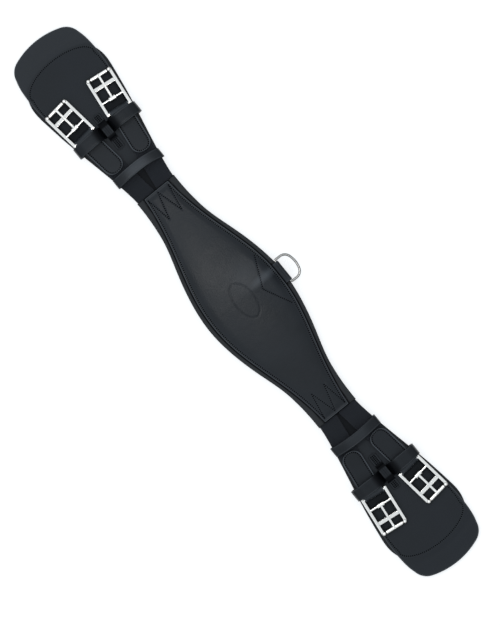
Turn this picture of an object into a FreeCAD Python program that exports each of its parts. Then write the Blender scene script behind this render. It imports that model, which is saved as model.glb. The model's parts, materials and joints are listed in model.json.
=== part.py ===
import FreeCAD, Part
import math
import os
import Sketcher

# Saddle girth lying flat. X runs along the girth (+X is the near-side end), Y across it (+Y is the
# front edge, with the dee ring) and Z up through the leather. Z = 0 is the underside of the lining.

Vector = FreeCAD.Vector

# Driving dimensions in millimetres and degrees: (alias, value, meaning).
DIMENSIONS = [
    ("lining_height", 5.5, "height of the lining's sewn border"),
    ("lining_floor", 1.5, "leather thickness under the foam"),
    ("border_width", 7.0, "width of the sewn border round the foam"),
    ("recess_depth", 1.6, "depth of the seats for the keepers' ends"),
    ("seat_slack", 0.1, "slack on each side of a keeper's seat"),
    ("wide_seat_inner", 39.0, "inner end of the wide keeper's seats"),
    ("narrow_seat_inner", 26.4, "inner end of the narrow keeper's seats"),
    ("seat_outer", 60.0, "outer end of all seats, beyond the lining's edge"),
    ("pad_half_length", 376.0, "centre of the girth to the lining's tip"),
    ("foam_gap", 0.1, "slack between the foam and the border"),
    ("flap_inner_end", 130.0, "hidden inner end of the flap leather"),
    ("flap_bottom", 5.5, "underside of the flap leather"),
    ("flap_leather", 2.2, "thickness of the flap leather"),
    ("flap_inset", 3.0, "lining showing beside the flap leather"),
    ("flap_tip", 402.5, "centre of the girth to the flap's tip"),
    ("flap_nose_radius", 95.7, "radius of the flap's blunt end"),
    ("flap_nose_half_width", 34.0, "half width of the blunt end"),
    ("flap_corner_radius", 22.0, "radius of the flap's corners"),
    ("flap_corner_start", 80.0, "direction in which a corner's arc starts"),
    ("contact_gap", 0.05, "slack between leathers that lie on each other"),
    ("padding_half_length", 128.0, "half length of the centre padding"),
    ("padding_inset", 8.0, "rim left flat beside the centre padding"),
    ("web_bottom", 7.7, "underside of the reinforcing web"),
    ("web_thickness", 1.1, "thickness of the reinforcing web"),
    ("web_half_width", 25.0, "half width of the reinforcing web"),
    ("web_half_length", 168.0, "half length of the reinforcing web"),
    ("web_gap", 0.05, "slack round the web in the padding"),
    ("backing_bottom", 10.8, "underside of the centre backing"),
    ("backing_leather", 1.5, "thickness of the centre backing"),
    ("backing_half_length", 173.0, "half length of the centre backing"),
    ("backing_end_step", 1.0, "extra half width of the backing at its ends"),
    ("panel_leather", 2.2, "thickness of the centre panel"),
    ("panel_half_length", 172.0, "half length of the centre panel"),
    ("strap_angle", 7.15, "splay of each buckle strap"),
    ("strap_end_x", 325.5, "outer edge of a buckle, along the girth"),
    ("strap_end_y", 33.4, "outer edge of a buckle, across the girth"),
    ("elastic_bottom", 8.9, "underside of the elastic"),
    ("elastic_thickness", 1.8, "thickness of the elastic"),
    ("elastic_width", 25.0, "width of the elastic"),
    ("elastic_inner_end", 135.0, "hidden sewn end of the elastic"),
    ("elastic_bend", 171.0, "place where the two elastics meet"),
    ("elastic_outer_end", 70.0, "end inside the chape, from the buckle's outer edge"),
    ("elastic_slack", 0.3, "gap between the elastics' sewn ends"),
    ("chape_width", 25.8, "width of a chape"),
    ("chape_length", 109.0, "chape's rounded end, from the buckle's outer edge"),
    ("chape_bottom", 7.75, "underside of the chape"),
    ("chape_lower_ply", 1.1, "thickness of the chape's lower ply"),
    ("chape_upper_ply", 2.25, "thickness of the chape's upper ply"),
    ("chape_end_radius", 10.5, "rounding of the chape's end"),
    ("chape_flat_run", 3.0, "flat part of the chape beyond the elastic's end"),
    ("fold_straight", 2.5, "straight part of the fold beside the end bar"),
    ("fold_leather", 1.6, "leather thickness at the fold"),
    ("fold_gap", 0.05, "slack of the fold round the end bar"),
    ("bar_height", 11.3, "height of the buckle bars' centres"),
    ("frame_width", 34.8, "outside width of a buckle"),
    ("frame_length", 52.0, "outside length of a buckle"),
    ("rail_width", 3.6, "width of a side rail"),
    ("rail_thickness", 3.2, "thickness of a side rail"),
    ("rail_rounding", 0.6, "edge rounding of a side rail"),
    ("corner_radius", 2.9, "ball at each outer corner"),
    ("roller_bar_at", 3.4, "roller bar, from the buckle's outer edge"),
    ("roller_bar_radius", 1.25, "roller bar radius"),
    ("roller_radius", 2.5, "outside radius of the roller"),
    ("roller_gap", 0.06, "running gap of the roller"),
    ("roller_end_gap", 0.3, "gap at each end of the roller"),
    ("mid_bar_at", 16.8, "flat middle bar, from the buckle's outer edge"),
    ("mid_bar_width", 4.4, "width of the flat middle bar"),
    ("mid_bar_thickness", 1.8, "thickness of the flat middle bar"),
    ("mid_bar_margin", 1.0, "middle bar's ends, inside the rails' outer faces"),
    ("prong_bar_at", 35.3, "prong bar, from the buckle's outer edge"),
    ("prong_bar_radius", 1.55, "prong bar radius"),
    ("end_bar_at", 50.2, "end bar, from the buckle's outer edge"),
    ("end_bar_radius", 1.8, "end bar radius"),
    ("prong_width", 2.6, "width of the prong"),
    ("prong_thickness", 2.1, "thickness of the prong"),
    ("curl_width", 9.0, "width of the prong's curl on its bar"),
    ("curl_radius", 3.3, "outside radius of the curl"),
    ("curl_gap", 0.05, "running gap of the curl"),
    ("prong_rest_gap", 0.08, "gap between prong and roller at rest"),
    ("prong_tip_at", 2.0, "prong's tip, from the buckle's outer edge"),
    ("wide_keeper_at", 257.0, "inner edge of the wide keeper"),
    ("wide_keeper_width", 16.5, "width of the wide keeper"),
    ("wide_keeper_leather", 2.2, "thickness of the wide keeper"),
    ("narrow_keeper_at", 199.0, "inner edge of the narrow keeper"),
    ("narrow_keeper_width", 13.2, "width of the narrow keeper"),
    ("narrow_keeper_leather", 1.8, "thickness of the narrow keeper"),
    ("tab_width", 10.5, "width of the centre tab"),
    ("tab_leather", 2.0, "thickness of the centre tab"),
    ("tab_inner_end", 237.0, "inner end of the centre tab"),
    ("tab_outer_end", 288.0, "outer end of the centre tab"),
    ("tab_slope_start", 4.2, "foot of the tab's slope, from the keeper's edge"),
    ("tab_slope_end", 1.6, "top of the tab's slope, from the keeper's edge"),
    ("tail_drop", 0.8, "keeper's sewn tail, below the lining's border"),
    ("dee_at_x", -0.8, "middle of the dee ring, along the girth"),
    ("dee_bar_y", 57.0, "straight bar of the dee ring, across the girth"),
    ("dee_bar_z", 14.0, "height of the dee ring's straight bar"),
    ("dee_wire_radius", 1.5, "radius of the dee ring's wire"),
    ("dee_half_width", 16.2, "half width of the dee ring, to the wire's centre"),
    ("dee_depth", 18.8, "bar to the round end, to the wire's centre"),
    ("dee_bend_radius", 2.0, "bend between bar and sides"),
    ("dee_crown_radius", 30.0, "radius of the ring's flat crown"),
    ("dee_crown_half_width", 9.5, "half width of the flat crown"),
    ("dee_chape_width", 28.0, "width of the dee chape"),
    ("dee_chape_leather", 1.4, "thickness of the dee chape"),
    ("dee_chape_gap", 0.05, "slack of the dee chape round the bar"),
    ("dee_tail", 19.0, "bar to the sewn end of the dee chape"),
    ("dee_tail_gap", 0.1, "slack under the dee chape's tail"),
    ("dee_slot_gap", 0.2, "slack of the slot for the dee chape"),
]

# One quarter of the lining's edge: (distance from the middle, half width).
WAIST_EDGE = [(0.0, 57.0), (38.0, 53.2), (77.0, 43.7), (115.0, 32.9), (144.0, 29.0), (173.0, 27.2)]
FLARE_EDGE = [(192.0, 29.4), (240.0, 38.6), (288.0, 48.5), (317.0, 53.0), (336.0, 54.8)]
END_EDGE = (352.0, 51.6)

# The flap leather's side between the buckles and its rounded corner.
FLAP_SIDE = [(356.0, 51.5), (368.0, 50.5)]

# One quarter of the centre panel's edge.
PANEL_EDGE = [(0.0, 50.7), (38.0, 47.2), (77.0, 37.7), (115.0, 27.3), (144.0, 21.3), (172.0, 18.1)]

# Middle lines of the keepers as (across, height), from the sewn tail's bend to the arch.
WIDE_KEEPER_TAIL = [39.6, 44.3]
WIDE_KEEPER_OUTER_LEG = [(45.7, 6.6), (45.9, 9.0), (45.7, 14.0), (44.0, 18.2), (39.5, 20.3)]
WIDE_KEEPER_CROWN = [(33.0, 21.1), (26.0, 21.3), (19.0, 21.0), (13.0, 20.0)]
WIDE_KEEPER_INNER_LEG = [(9.6, 17.6), (8.2, 13.4)]
WIDE_KEEPER_DIP = [(7.4, 1.2), (6.0, 0.0), (0.0, 0.0)]
NARROW_KEEPER_TAIL = [27.2, 31.4]
NARROW_KEEPER_LEG = [(32.7, 6.5), (32.8, 9.0), (32.5, 13.0), (31.0, 15.6), (27.0, 17.0)]
NARROW_KEEPER_CROWN = [(18.0, 17.8), (9.0, 18.2), (0.0, 18.3)]
PARING_RUN = 0.4

# Middle line of a prong's arm as (along, rise): from its pivot's top, then over the roller's top.
PRONG_ROOT = [(-0.5, 0.0), (4.0, 0.15)]
PRONG_REST = [(-10.0, 0.5), (-5.0, 0.0)]

# The lining's shoulder moves along the girth by this share of an inset.
SHOULDER_SLOPE = 0.7

ENDS = {"near": 1, "off": -1}
SIDES = {"front": 1, "rear": -1}


def make_sheet(document):
    """Put the driving dimensions in a spreadsheet, one alias per row."""
    sheet = document.addObject("Spreadsheet::Sheet", "dims")
    for row, (alias, value, meaning) in enumerate(DIMENSIONS, start=1):
        sheet.set("A%d" % row, alias)
        sheet.set("B%d" % row, str(value))
        sheet.set("C%d" % row, meaning)
        sheet.setAlias("B%d" % row, alias)
    document.recompute()
    return sheet


doc = FreeCAD.newDocument("saddle_girth")
dims = make_sheet(doc)


def size(alias):
    """Read one driving dimension from the sheet."""
    return float(getattr(dims, alias))


def new_body(name):
    """Start a body whose label is the sub-part's name."""
    body = doc.addObject("PartDesign::Body", name)
    body.Label = name
    return body


def add_sketch(body, name, role, level="0"):
    """Attach an empty sketch to one of the body's planes, raised by an expression."""
    plane = [item for item in body.Origin.OriginFeatures if item.Role == role][0]
    sketch = body.newObject("Sketcher::SketchObject", name)
    sketch.AttachmentSupport = (plane, [""])
    sketch.MapMode = "FlatFace"
    sketch.setExpression("AttachmentOffset.Base.z", level)
    return sketch


def bind_box(sketch, low_x, low_y, high_x, high_y):
    """Draw a rectangle whose four sides are held by expressions."""
    first = sketch.GeometryCount
    corners = [Vector(0, 0, 0), Vector(1, 0, 0), Vector(1, 1, 0), Vector(0, 1, 0)]
    for index in range(4):
        sketch.addGeometry(Part.LineSegment(corners[index], corners[(index + 1) % 4]))
    for index in range(4):
        following = first + (index + 1) % 4
        sketch.addConstraint(Sketcher.Constraint("Coincident", first + index, 2, following, 1))
    for index in (0, 2):
        sketch.addConstraint(Sketcher.Constraint("Horizontal", first + index))
        sketch.addConstraint(Sketcher.Constraint("Vertical", first + index + 1))
    limits = [
        ("DistanceX", first, low_x),
        ("DistanceY", first, low_y),
        ("DistanceX", first + 2, high_x),
        ("DistanceY", first + 2, high_y),
    ]
    for kind, line, expression in limits:
        start = dims.evalExpression(expression)
        number = sketch.addConstraint(Sketcher.Constraint(kind, -1, 1, line, 1, float(start)))
        sketch.setExpression("Constraints[%d]" % number, expression)


def bind_circle(sketch, centre_x, centre_y, radius):
    """Draw a circle whose centre and radius are held by expressions."""
    values = [float(dims.evalExpression(text)) for text in (centre_x, centre_y, radius)]
    centre = Vector(values[0], values[1], 0)
    line = sketch.addGeometry(Part.Circle(centre, Vector(0, 0, 1), values[2]))
    pairs = [("DistanceX", centre_x, values[0]), ("DistanceY", centre_y, values[1])]
    for kind, expression, start in pairs:
        number = sketch.addConstraint(Sketcher.Constraint(kind, -1, 1, line, 3, start))
        sketch.setExpression("Constraints[%d]" % number, expression)
    number = sketch.addConstraint(Sketcher.Constraint("Radius", line, values[2]))
    sketch.setExpression("Constraints[%d]" % number, radius)


def add_edges(sketch, edges):
    """Draw a closed chain of lines, arcs and splines."""
    for edge in edges:
        sketch.addGeometry(edge)


def closed_polygon(points):
    """Lines round a list of (x, y) points."""
    corners = [Vector(x, y, 0) for x, y in points]
    return [Part.LineSegment(corners[i - 1], corners[i]) for i in range(len(corners))]


def add_pad(body, sketch, length, symmetric=False):
    """Extrude a sketch by an expression."""
    pad = body.newObject("PartDesign::Pad", sketch.Name + "_pad")
    pad.Profile = sketch
    pad.SideType = "Symmetric" if symmetric else "One side"
    pad.setExpression("Length", length)
    body.Tip = pad
    return pad


def add_pocket(body, sketch, length, symmetric=False):
    """Cut a sketch away and make sure that something was removed."""
    doc.recompute()
    before = body.Shape.Volume
    pocket = body.newObject("PartDesign::Pocket", sketch.Name + "_pocket")
    pocket.Profile = sketch
    pocket.SideType = "Symmetric" if symmetric else "One side"
    pocket.setExpression("Length", length)
    body.Tip = pocket
    doc.recompute()
    if body.Shape.Volume > before - 1e-3:
        raise RuntimeError("pocket %s cut nothing" % sketch.Name)
    return pocket


def spline(points):
    """An interpolated curve through (x, y) points."""
    curve = Part.BSplineCurve()
    curve.interpolate(Points=[Vector(x, y, 0) for x, y in points])
    return curve


def mirrored_in_x(points):
    """The quarter's points and their mirror images, from -X to +X."""
    left = [(-x, y) for x, y in reversed(points) if x > 0]
    return left + list(points)


def lining_outline(inset):
    """The lining's whole edge, or the same edge moved in by an inset."""
    shoulder = (END_EDGE[0] - SHOULDER_SLOPE * inset, END_EDGE[1] - inset)
    quarter = [(x, y - inset) for x, y in WAIST_EDGE + FLARE_EDGE] + [shoulder]
    tip = size("pad_half_length") - inset
    upper = mirrored_in_x(quarter)
    edges = [spline(upper), spline([(x, -y) for x, y in upper])]
    for sign in (1, -1):
        front = Vector(sign * shoulder[0], shoulder[1], 0)
        rear = Vector(sign * shoulder[0], -shoulder[1], 0)
        edges.append(Part.Arc(front, Vector(sign * tip, 0, 0), rear))
    return edges


def cut_edge(points, half_length):
    """A strip with a curved edge on both sides and straight ends."""
    upper = mirrored_in_x(points)
    upper[0] = (-half_length, upper[0][1])
    upper[-1] = (half_length, upper[-1][1])
    lower = [(x, -y) for x, y in upper]
    ends = []
    for x, y in (upper[0], upper[-1]):
        ends.append(Part.LineSegment(Vector(x, y, 0), Vector(x, -y, 0)))
    return [spline(upper), spline(lower)] + ends


def waist_half_width(x):
    """Half width of the lining's edge at a place in the waist, by straight lines."""
    for (x0, y0), (x1, y1) in zip(WAIST_EDGE, WAIST_EDGE[1:]):
        if x0 <= x <= x1:
            return y0 + (y1 - y0) * (x - x0) / (x1 - x0)
    return WAIST_EDGE[-1][1]


def turned(body, sign):
    """Turn a piece modelled at the near end round to the off end."""
    angle = 0 if sign > 0 else 180
    body.Placement = FreeCAD.Placement(Vector(0, 0, 0), FreeCAD.Rotation(Vector(0, 0, 1), angle))


def strap_place(end, side):
    """Placement of a strap's own frame: origin at the buckle's outer edge, +x outward."""
    angle = math.radians(size("strap_angle"))
    heading = math.degrees(math.atan2(side * math.sin(angle), end * math.cos(angle)))
    origin = Vector(end * size("strap_end_x"), side * size("strap_end_y"), 0)
    return FreeCAD.Placement(origin, FreeCAD.Rotation(Vector(0, 0, 1), heading))


def make_lining():
    """Body-side leather with a thick sewn border, a bed for the foam and seats for the keepers."""
    body = new_body("lining")
    outline = add_sketch(body, "lining_outline", "XY_Plane")
    add_edges(outline, lining_outline(0.0))
    add_pad(body, outline, "dims.lining_height")
    bed = add_sketch(body, "foam_bed", "XY_Plane", "dims.lining_height")
    add_edges(bed, lining_outline(size("border_width")))
    add_pocket(body, bed, "dims.lining_height - dims.lining_floor")
    seats = add_sketch(body, "keeper_seats", "XY_Plane", "dims.lining_height")
    outer = size("seat_outer")
    for keeper in ("wide", "narrow"):
        inner = size(keeper + "_seat_inner")
        start = size(keeper + "_keeper_at") - size("seat_slack")
        stop = start + size(keeper + "_keeper_width") + 2 * size("seat_slack")
        for end in ENDS.values():
            for side in SIDES.values():
                corners = [(start, inner), (stop, inner), (stop, outer), (start, outer)]
                add_edges(seats, closed_polygon([(end * x, side * y) for x, y in corners]))
    add_pocket(body, seats, "dims.recess_depth")
    return body


def make_foam_core():
    """Foam sheet that fills the lining's bed."""
    body = new_body("foam_core")
    outline = add_sketch(body, "foam_outline", "XY_Plane", "dims.lining_floor")
    add_edges(outline, lining_outline(size("border_width") + size("foam_gap")))
    add_pad(body, outline, "dims.lining_height - dims.lining_floor")
    return body


def make_centre_padding():
    """Padding under the centre panel, with a tunnel for the reinforcing web."""
    body = new_body("centre_padding")
    inset = size("padding_inset")
    half = size("padding_half_length")
    edge = [(x, y - inset) for x, y in WAIST_EDGE if x < half]
    edge.append((half, waist_half_width(half) - inset))
    outline = add_sketch(body, "padding_outline", "XY_Plane", "dims.lining_height")
    add_edges(outline, cut_edge(edge, half))
    add_pad(body, outline, "dims.backing_bottom - dims.lining_height")
    tunnel = add_sketch(body, "web_tunnel", "YZ_Plane")
    bind_box(
        tunnel,
        "-dims.web_half_width - dims.web_gap",
        "dims.web_bottom - dims.web_gap",
        "dims.web_half_width + dims.web_gap",
        "dims.web_bottom + dims.web_thickness + dims.web_gap",
    )
    add_pocket(body, tunnel, "2 * dims.padding_half_length + 10", symmetric=True)
    return body


def make_reinforcing_web():
    """Web that joins the elastics of both ends through the middle."""
    body = new_body("reinforcing_web")
    outline = add_sketch(body, "web_outline", "XY_Plane", "dims.web_bottom")
    bind_box(
        outline,
        "-dims.web_half_length",
        "-dims.web_half_width",
        "dims.web_half_length",
        "dims.web_half_width",
    )
    add_pad(body, outline, "dims.web_thickness")
    return body


def make_centre_backing():
    """Matte leather under the centre panel, whose rim shows all round it."""
    body = new_body("centre_backing")
    half = size("backing_half_length")
    edge = WAIST_EDGE[:-1] + [(half, WAIST_EDGE[-1][1] + size("backing_end_step"))]
    outline = add_sketch(body, "backing_outline", "XY_Plane", "dims.backing_bottom")
    add_edges(outline, cut_edge(edge, half))
    add_pad(body, outline, "dims.backing_leather")
    slot = add_sketch(body, "dee_chape_slot", "XY_Plane", "dims.backing_bottom + dims.backing_leather")
    bind_box(
        slot,
        "dims.dee_at_x - dims.dee_chape_width / 2 - dims.dee_slot_gap",
        "dims.dee_bar_y - dims.dee_tail - dims.dee_slot_gap",
        "dims.dee_at_x + dims.dee_chape_width / 2 + dims.dee_slot_gap",
        "dims.seat_outer",
    )
    add_pocket(body, slot, "dims.backing_leather")
    return body


def make_centre_panel():
    """Smooth outer leather of the middle."""
    body = new_body("centre_panel")
    outline = add_sketch(body, "panel_outline", "XY_Plane", "dims.backing_bottom + dims.backing_leather")
    add_edges(outline, cut_edge(PANEL_EDGE, size("panel_half_length")))
    add_pad(body, outline, "dims.panel_leather")
    return body


def polar(centre, radius, degrees):
    """The point of a circle in one direction."""
    angle = math.radians(degrees)
    return (centre[0] + radius * math.cos(angle), centre[1] + radius * math.sin(angle))


def flap_corner():
    """Start, middle and end of the arc at the flap's +Y corner, which runs smoothly into the blunt end."""
    radius = size("flap_corner_radius")
    nose_radius = size("flap_nose_radius")
    nose_centre = (size("flap_tip") - nose_radius, 0.0)
    stop = math.degrees(math.asin(size("flap_nose_half_width") / nose_radius))
    centre = polar(nose_centre, nose_radius - radius, stop)
    start = size("flap_corner_start")
    return [polar(centre, radius, degrees) for degrees in (start, (start + stop) / 2, stop)]


def flap_outline():
    """Edge of the flap leather: along the lining, then round the end."""
    inset = size("flap_inset")
    start = size("flap_inner_end")
    corner = flap_corner()
    along = [(start, waist_half_width(start) - inset)]
    along += [(x, y - inset) for x, y in WAIST_EDGE + FLARE_EDGE if x > start]
    along += FLAP_SIDE
    along.append(corner[0])
    edges = []
    for sign in (1, -1):
        edges.append(spline([(x, sign * y) for x, y in along]))
        edges.append(Part.Arc(*[Vector(x, sign * y, 0) for x, y in corner]))
    edges.append(Part.LineSegment(Vector(start, along[0][1], 0), Vector(start, -along[0][1], 0)))
    front = Vector(corner[2][0], corner[2][1], 0)
    rear = Vector(corner[2][0], -corner[2][1], 0)
    edges.append(Part.Arc(front, Vector(size("flap_tip"), 0, 0), rear))
    return edges


def make_flap_leather(name, sign):
    """Leather under the buckles, with a rounded end beyond the lining."""
    body = new_body(name + "_flap_leather")
    outline = add_sketch(body, name + "_flap_outline", "XY_Plane", "dims.flap_bottom")
    add_edges(outline, flap_outline())
    add_pad(body, outline, "dims.flap_leather")
    turned(body, sign)
    return body


def band_outline(points, thickness):
    """Closed outline of a bent band from its middle line, with mitred bends."""
    sides = ([], [])
    for index, (x, y) in enumerate(points):
        before = points[max(index - 1, 0)]
        after = points[min(index + 1, len(points) - 1)]
        normals = []
        for start, stop in ((before, (x, y)), ((x, y), after)):
            length = math.hypot(stop[0] - start[0], stop[1] - start[1])
            if length > 0:
                normals.append(((start[1] - stop[1]) / length, (stop[0] - start[0]) / length))
        mean_x = sum(normal[0] for normal in normals) / len(normals)
        mean_y = sum(normal[1] for normal in normals) / len(normals)
        scale = thickness / 2 / (mean_x ** 2 + mean_y ** 2)
        sides[0].append((x + mean_x * scale, y + mean_y * scale))
        sides[1].append((x - mean_x * scale, y - mean_y * scale))
    return sides[0] + sides[1][::-1]


def mirrored_band(half):
    """A band's middle line from one edge of the girth to the other."""
    return [(-y, z) for y, z in half] + [(y, z) for y, z in reversed(half) if y > 0]


def thinned_tail(outline, middle, thickness):
    """Pare the band's sewn ends down to the depth of their seats."""
    low = middle - thickness / 2
    high = middle + thickness / 2
    return [(y, min(max(z, low), high)) if z < high + PARING_RUN else (y, z) for y, z in outline]


def make_keeper(name, kind, half, sign):
    """Sweep a keeper's middle line into a band across the girth."""
    leather = size(kind + "_leather")
    body = new_body(name + "_" + kind)
    sketch = add_sketch(body, name + "_" + kind + "_side", "YZ_Plane", "dims.%s_at" % kind)
    outline = band_outline(mirrored_band(half), leather)
    tail = size("lining_height") - size("tail_drop")
    add_edges(sketch, closed_polygon(thinned_tail(outline, tail, size("recess_depth"))))
    add_pad(body, sketch, "dims.%s_width" % kind)
    turned(body, sign)
    return body


def make_wide_keeper(name, sign):
    """Band that arches over both straps and is held down between them."""
    tail = size("lining_height") - size("tail_drop")
    top_of_flap = size("flap_bottom") + size("flap_leather")
    dip = top_of_flap + size("contact_gap") + size("wide_keeper_leather") / 2
    half = [(y, tail) for y in WIDE_KEEPER_TAIL]
    half += WIDE_KEEPER_OUTER_LEG + WIDE_KEEPER_CROWN + WIDE_KEEPER_INNER_LEG
    half += [(y, dip + rise) for y, rise in WIDE_KEEPER_DIP]
    return make_keeper(name, "wide_keeper", half, sign)


def make_narrow_keeper(name, sign):
    """Band that arches over both elastics."""
    tail = size("lining_height") - size("tail_drop")
    half = [(y, tail) for y in NARROW_KEEPER_TAIL]
    half += NARROW_KEEPER_LEG + NARROW_KEEPER_CROWN
    return make_keeper(name, "narrow_keeper", half, sign)


def make_centre_tab(name, sign):
    """Tab sewn down at both ends over the middle of the wide keeper."""
    body = new_body(name + "_centre_tab")
    leather = size("tab_leather")
    low = size("flap_bottom") + size("flap_leather") + size("contact_gap") + leather / 2
    high = low + size("wide_keeper_leather") + size("contact_gap")
    keeper = size("wide_keeper_at")
    keeper_end = keeper + size("wide_keeper_width")
    line = [
        (size("tab_inner_end"), low),
        (keeper - size("tab_slope_start"), low),
        (keeper - size("tab_slope_end"), high),
        (keeper_end + size("tab_slope_end"), high),
        (keeper_end + size("tab_slope_start"), low),
        (size("tab_outer_end"), low),
    ]
    sketch = add_sketch(body, name + "_tab_side", "XZ_Plane")
    add_edges(sketch, closed_polygon(band_outline(line, leather)))
    add_pad(body, sketch, "dims.tab_width", symmetric=True)
    turned(body, sign)
    return body


def in_strap_frame(x, y):
    """A point of the near front quarter, in the strap's own frame."""
    angle = math.radians(size("strap_angle"))
    across = y - size("strap_end_y")
    along = x - size("strap_end_x")
    return (
        along * math.cos(angle) + across * math.sin(angle),
        across * math.cos(angle) - along * math.sin(angle),
    )


def make_elastic(name, end, side):
    """Elastic between the middle of the girth and a chape, bent where it leaves its neighbour."""
    body = new_body(name + "_elastic")
    width = size("elastic_width")
    half = width / 2
    bend = (size("elastic_bend") - size("strap_end_x")) / math.cos(math.radians(size("strap_angle")))
    inner_end = size("elastic_inner_end")
    outer_end = -size("elastic_outer_end")
    slack = size("elastic_slack")
    points = [
        (outer_end, -half),
        (outer_end, half),
        (bend, half),
        in_strap_frame(inner_end, width + slack),
        in_strap_frame(inner_end, slack),
        (bend, -half),
    ]
    outline = add_sketch(body, name + "_elastic_outline", "XY_Plane", "dims.elastic_bottom")
    add_edges(outline, closed_polygon([(x, end * side * y) for x, y in points]))
    add_pad(body, outline, "dims.elastic_thickness")
    body.Placement = strap_place(end, side)
    return body


def make_chape(name, end, side):
    """Leather folded round the buckle's end bar, with the elastic sewn between its plies."""
    body = new_body(name + "_chape")
    bar_x = -size("end_bar_at")
    bar_z = size("bar_height")
    inner = size("end_bar_radius") + size("fold_gap")
    outer = inner + size("fold_leather")
    rear = -size("chape_length")
    low = size("chape_bottom")
    low_top = low + size("chape_lower_ply")
    high = size("elastic_bottom") + size("elastic_thickness") + size("contact_gap")
    high_top = high + size("chape_upper_ply")
    flat_end = size("chape_flat_run") - size("elastic_outer_end")
    loop_start = bar_x - size("fold_straight")
    upper = [
        (bar_x, bar_z + outer),
        (loop_start, bar_z + outer),
        (flat_end, high_top),
        (rear, high_top),
        (rear, high),
        (flat_end, high),
        (loop_start, bar_z + inner),
        (bar_x, bar_z + inner),
    ]
    lower = [
        (bar_x, bar_z - inner),
        (loop_start, bar_z - inner),
        (flat_end, low_top),
        (rear, low_top),
        (rear, low),
        (loop_start, bar_z - outer),
        (bar_x, bar_z - outer),
    ]
    sketch = add_sketch(body, name + "_chape_side", "XZ_Plane")
    for chain in (upper, lower):
        corners = [Vector(x, z, 0) for x, z in chain]
        add_edges(sketch, [Part.LineSegment(a, b) for a, b in zip(corners, corners[1:])])
    for radius, above, below in ((outer, upper[0], lower[-1]), (inner, upper[-1], lower[0])):
        points = [above, (bar_x + radius, bar_z), below]
        add_edges(sketch, [Part.Arc(*[Vector(x, z, 0) for x, z in points])])
    pad = add_pad(body, sketch, "dims.chape_width", symmetric=True)
    doc.recompute()
    round_end(body, pad, rear)
    body.Placement = strap_place(end, side)
    return body


def round_end(body, pad, rear):
    """Round the upright edges at the chape's inner end."""
    names = []
    for number, edge in enumerate(pad.Shape.Edges, start=1):
        ends = [vertex.Point for vertex in edge.Vertexes]
        upright = abs(ends[0].z - ends[-1].z) > 0.5
        if upright and all(abs(point.x - rear) < 0.01 for point in ends):
            names.append("Edge%d" % number)
    fillet = body.newObject("PartDesign::Fillet", body.Name + "_round_end")
    fillet.Base = (pad, names)
    fillet.setExpression("Radius", "dims.chape_end_radius")
    body.Tip = fillet


def make_buckle_frame(name, end, side):
    """Cast frame: two rails, roller bar, flat middle bar, prong bar and end bar."""
    body = new_body(name + "_buckle_frame")
    middle = add_sketch(body, name + "_mid_bar", "XY_Plane", "dims.bar_height")
    bind_box(
        middle,
        "-dims.mid_bar_at - dims.mid_bar_width / 2",
        "dims.mid_bar_margin - dims.frame_width / 2",
        "-dims.mid_bar_at + dims.mid_bar_width / 2",
        "dims.frame_width / 2 - dims.mid_bar_margin",
    )
    add_pad(body, middle, "dims.mid_bar_thickness", symmetric=True)
    rails = add_sketch(body, name + "_rails", "XY_Plane", "dims.bar_height")
    bind_box(
        rails,
        "-dims.frame_length",
        "dims.frame_width / 2 - dims.rail_width",
        "-dims.roller_bar_at",
        "dims.frame_width / 2",
    )
    bind_box(
        rails,
        "-dims.frame_length",
        "-dims.frame_width / 2",
        "-dims.roller_bar_at",
        "dims.rail_width - dims.frame_width / 2",
    )
    pad = add_pad(body, rails, "dims.rail_thickness", symmetric=True)
    doc.recompute()
    round_rails(body, pad)
    for bar in ("roller_bar", "prong_bar", "end_bar"):
        sketch = add_sketch(body, name + "_" + bar, "XZ_Plane")
        bind_circle(sketch, "-dims.%s_at" % bar, "dims.bar_height", "dims.%s_radius" % bar)
        add_pad(body, sketch, "dims.frame_width - dims.rail_width", symmetric=True)
    for across in (1, -1):
        ball = body.newObject("PartDesign::AdditiveSphere", name + "_corner")
        ball.setExpression("Radius", "dims.corner_radius")
        ball.setExpression("Placement.Base.x", "-dims.roller_bar_at")
        ball.setExpression("Placement.Base.y", "%d * (dims.frame_width / 2 - dims.corner_radius)" % across)
        ball.setExpression("Placement.Base.z", "dims.bar_height")
        body.Tip = ball
    body.Placement = strap_place(end, side)
    return body


def round_rails(body, pad):
    """Round the long edges of both rails."""
    names = []
    half = size("rail_thickness") / 2
    for number, edge in enumerate(pad.Shape.Edges, start=1):
        ends = [vertex.Point for vertex in edge.Vertexes]
        lengthwise = abs(ends[0].x - ends[-1].x) > 5
        outermost = abs(abs(ends[0].z - size("bar_height")) - half) < 0.01
        if lengthwise and outermost:
            names.append("Edge%d" % number)
    fillet = body.newObject("PartDesign::Fillet", body.Name + "_rounding")
    fillet.Base = (pad, names)
    fillet.setExpression("Radius", "dims.rail_rounding")
    body.Tip = fillet


def make_roller(name, end, side):
    """Tube that turns on the roller bar."""
    body = new_body(name + "_roller")
    ring = add_sketch(body, name + "_roller_ring", "XZ_Plane")
    bind_circle(ring, "-dims.roller_bar_at", "dims.bar_height", "dims.roller_radius")
    bind_circle(ring, "-dims.roller_bar_at", "dims.bar_height", "dims.roller_bar_radius + dims.roller_gap")
    length = "dims.frame_width - 4 * dims.corner_radius - 2 * dims.roller_end_gap"
    add_pad(body, ring, length, symmetric=True)
    body.Placement = strap_place(end, side)
    return body


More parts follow.
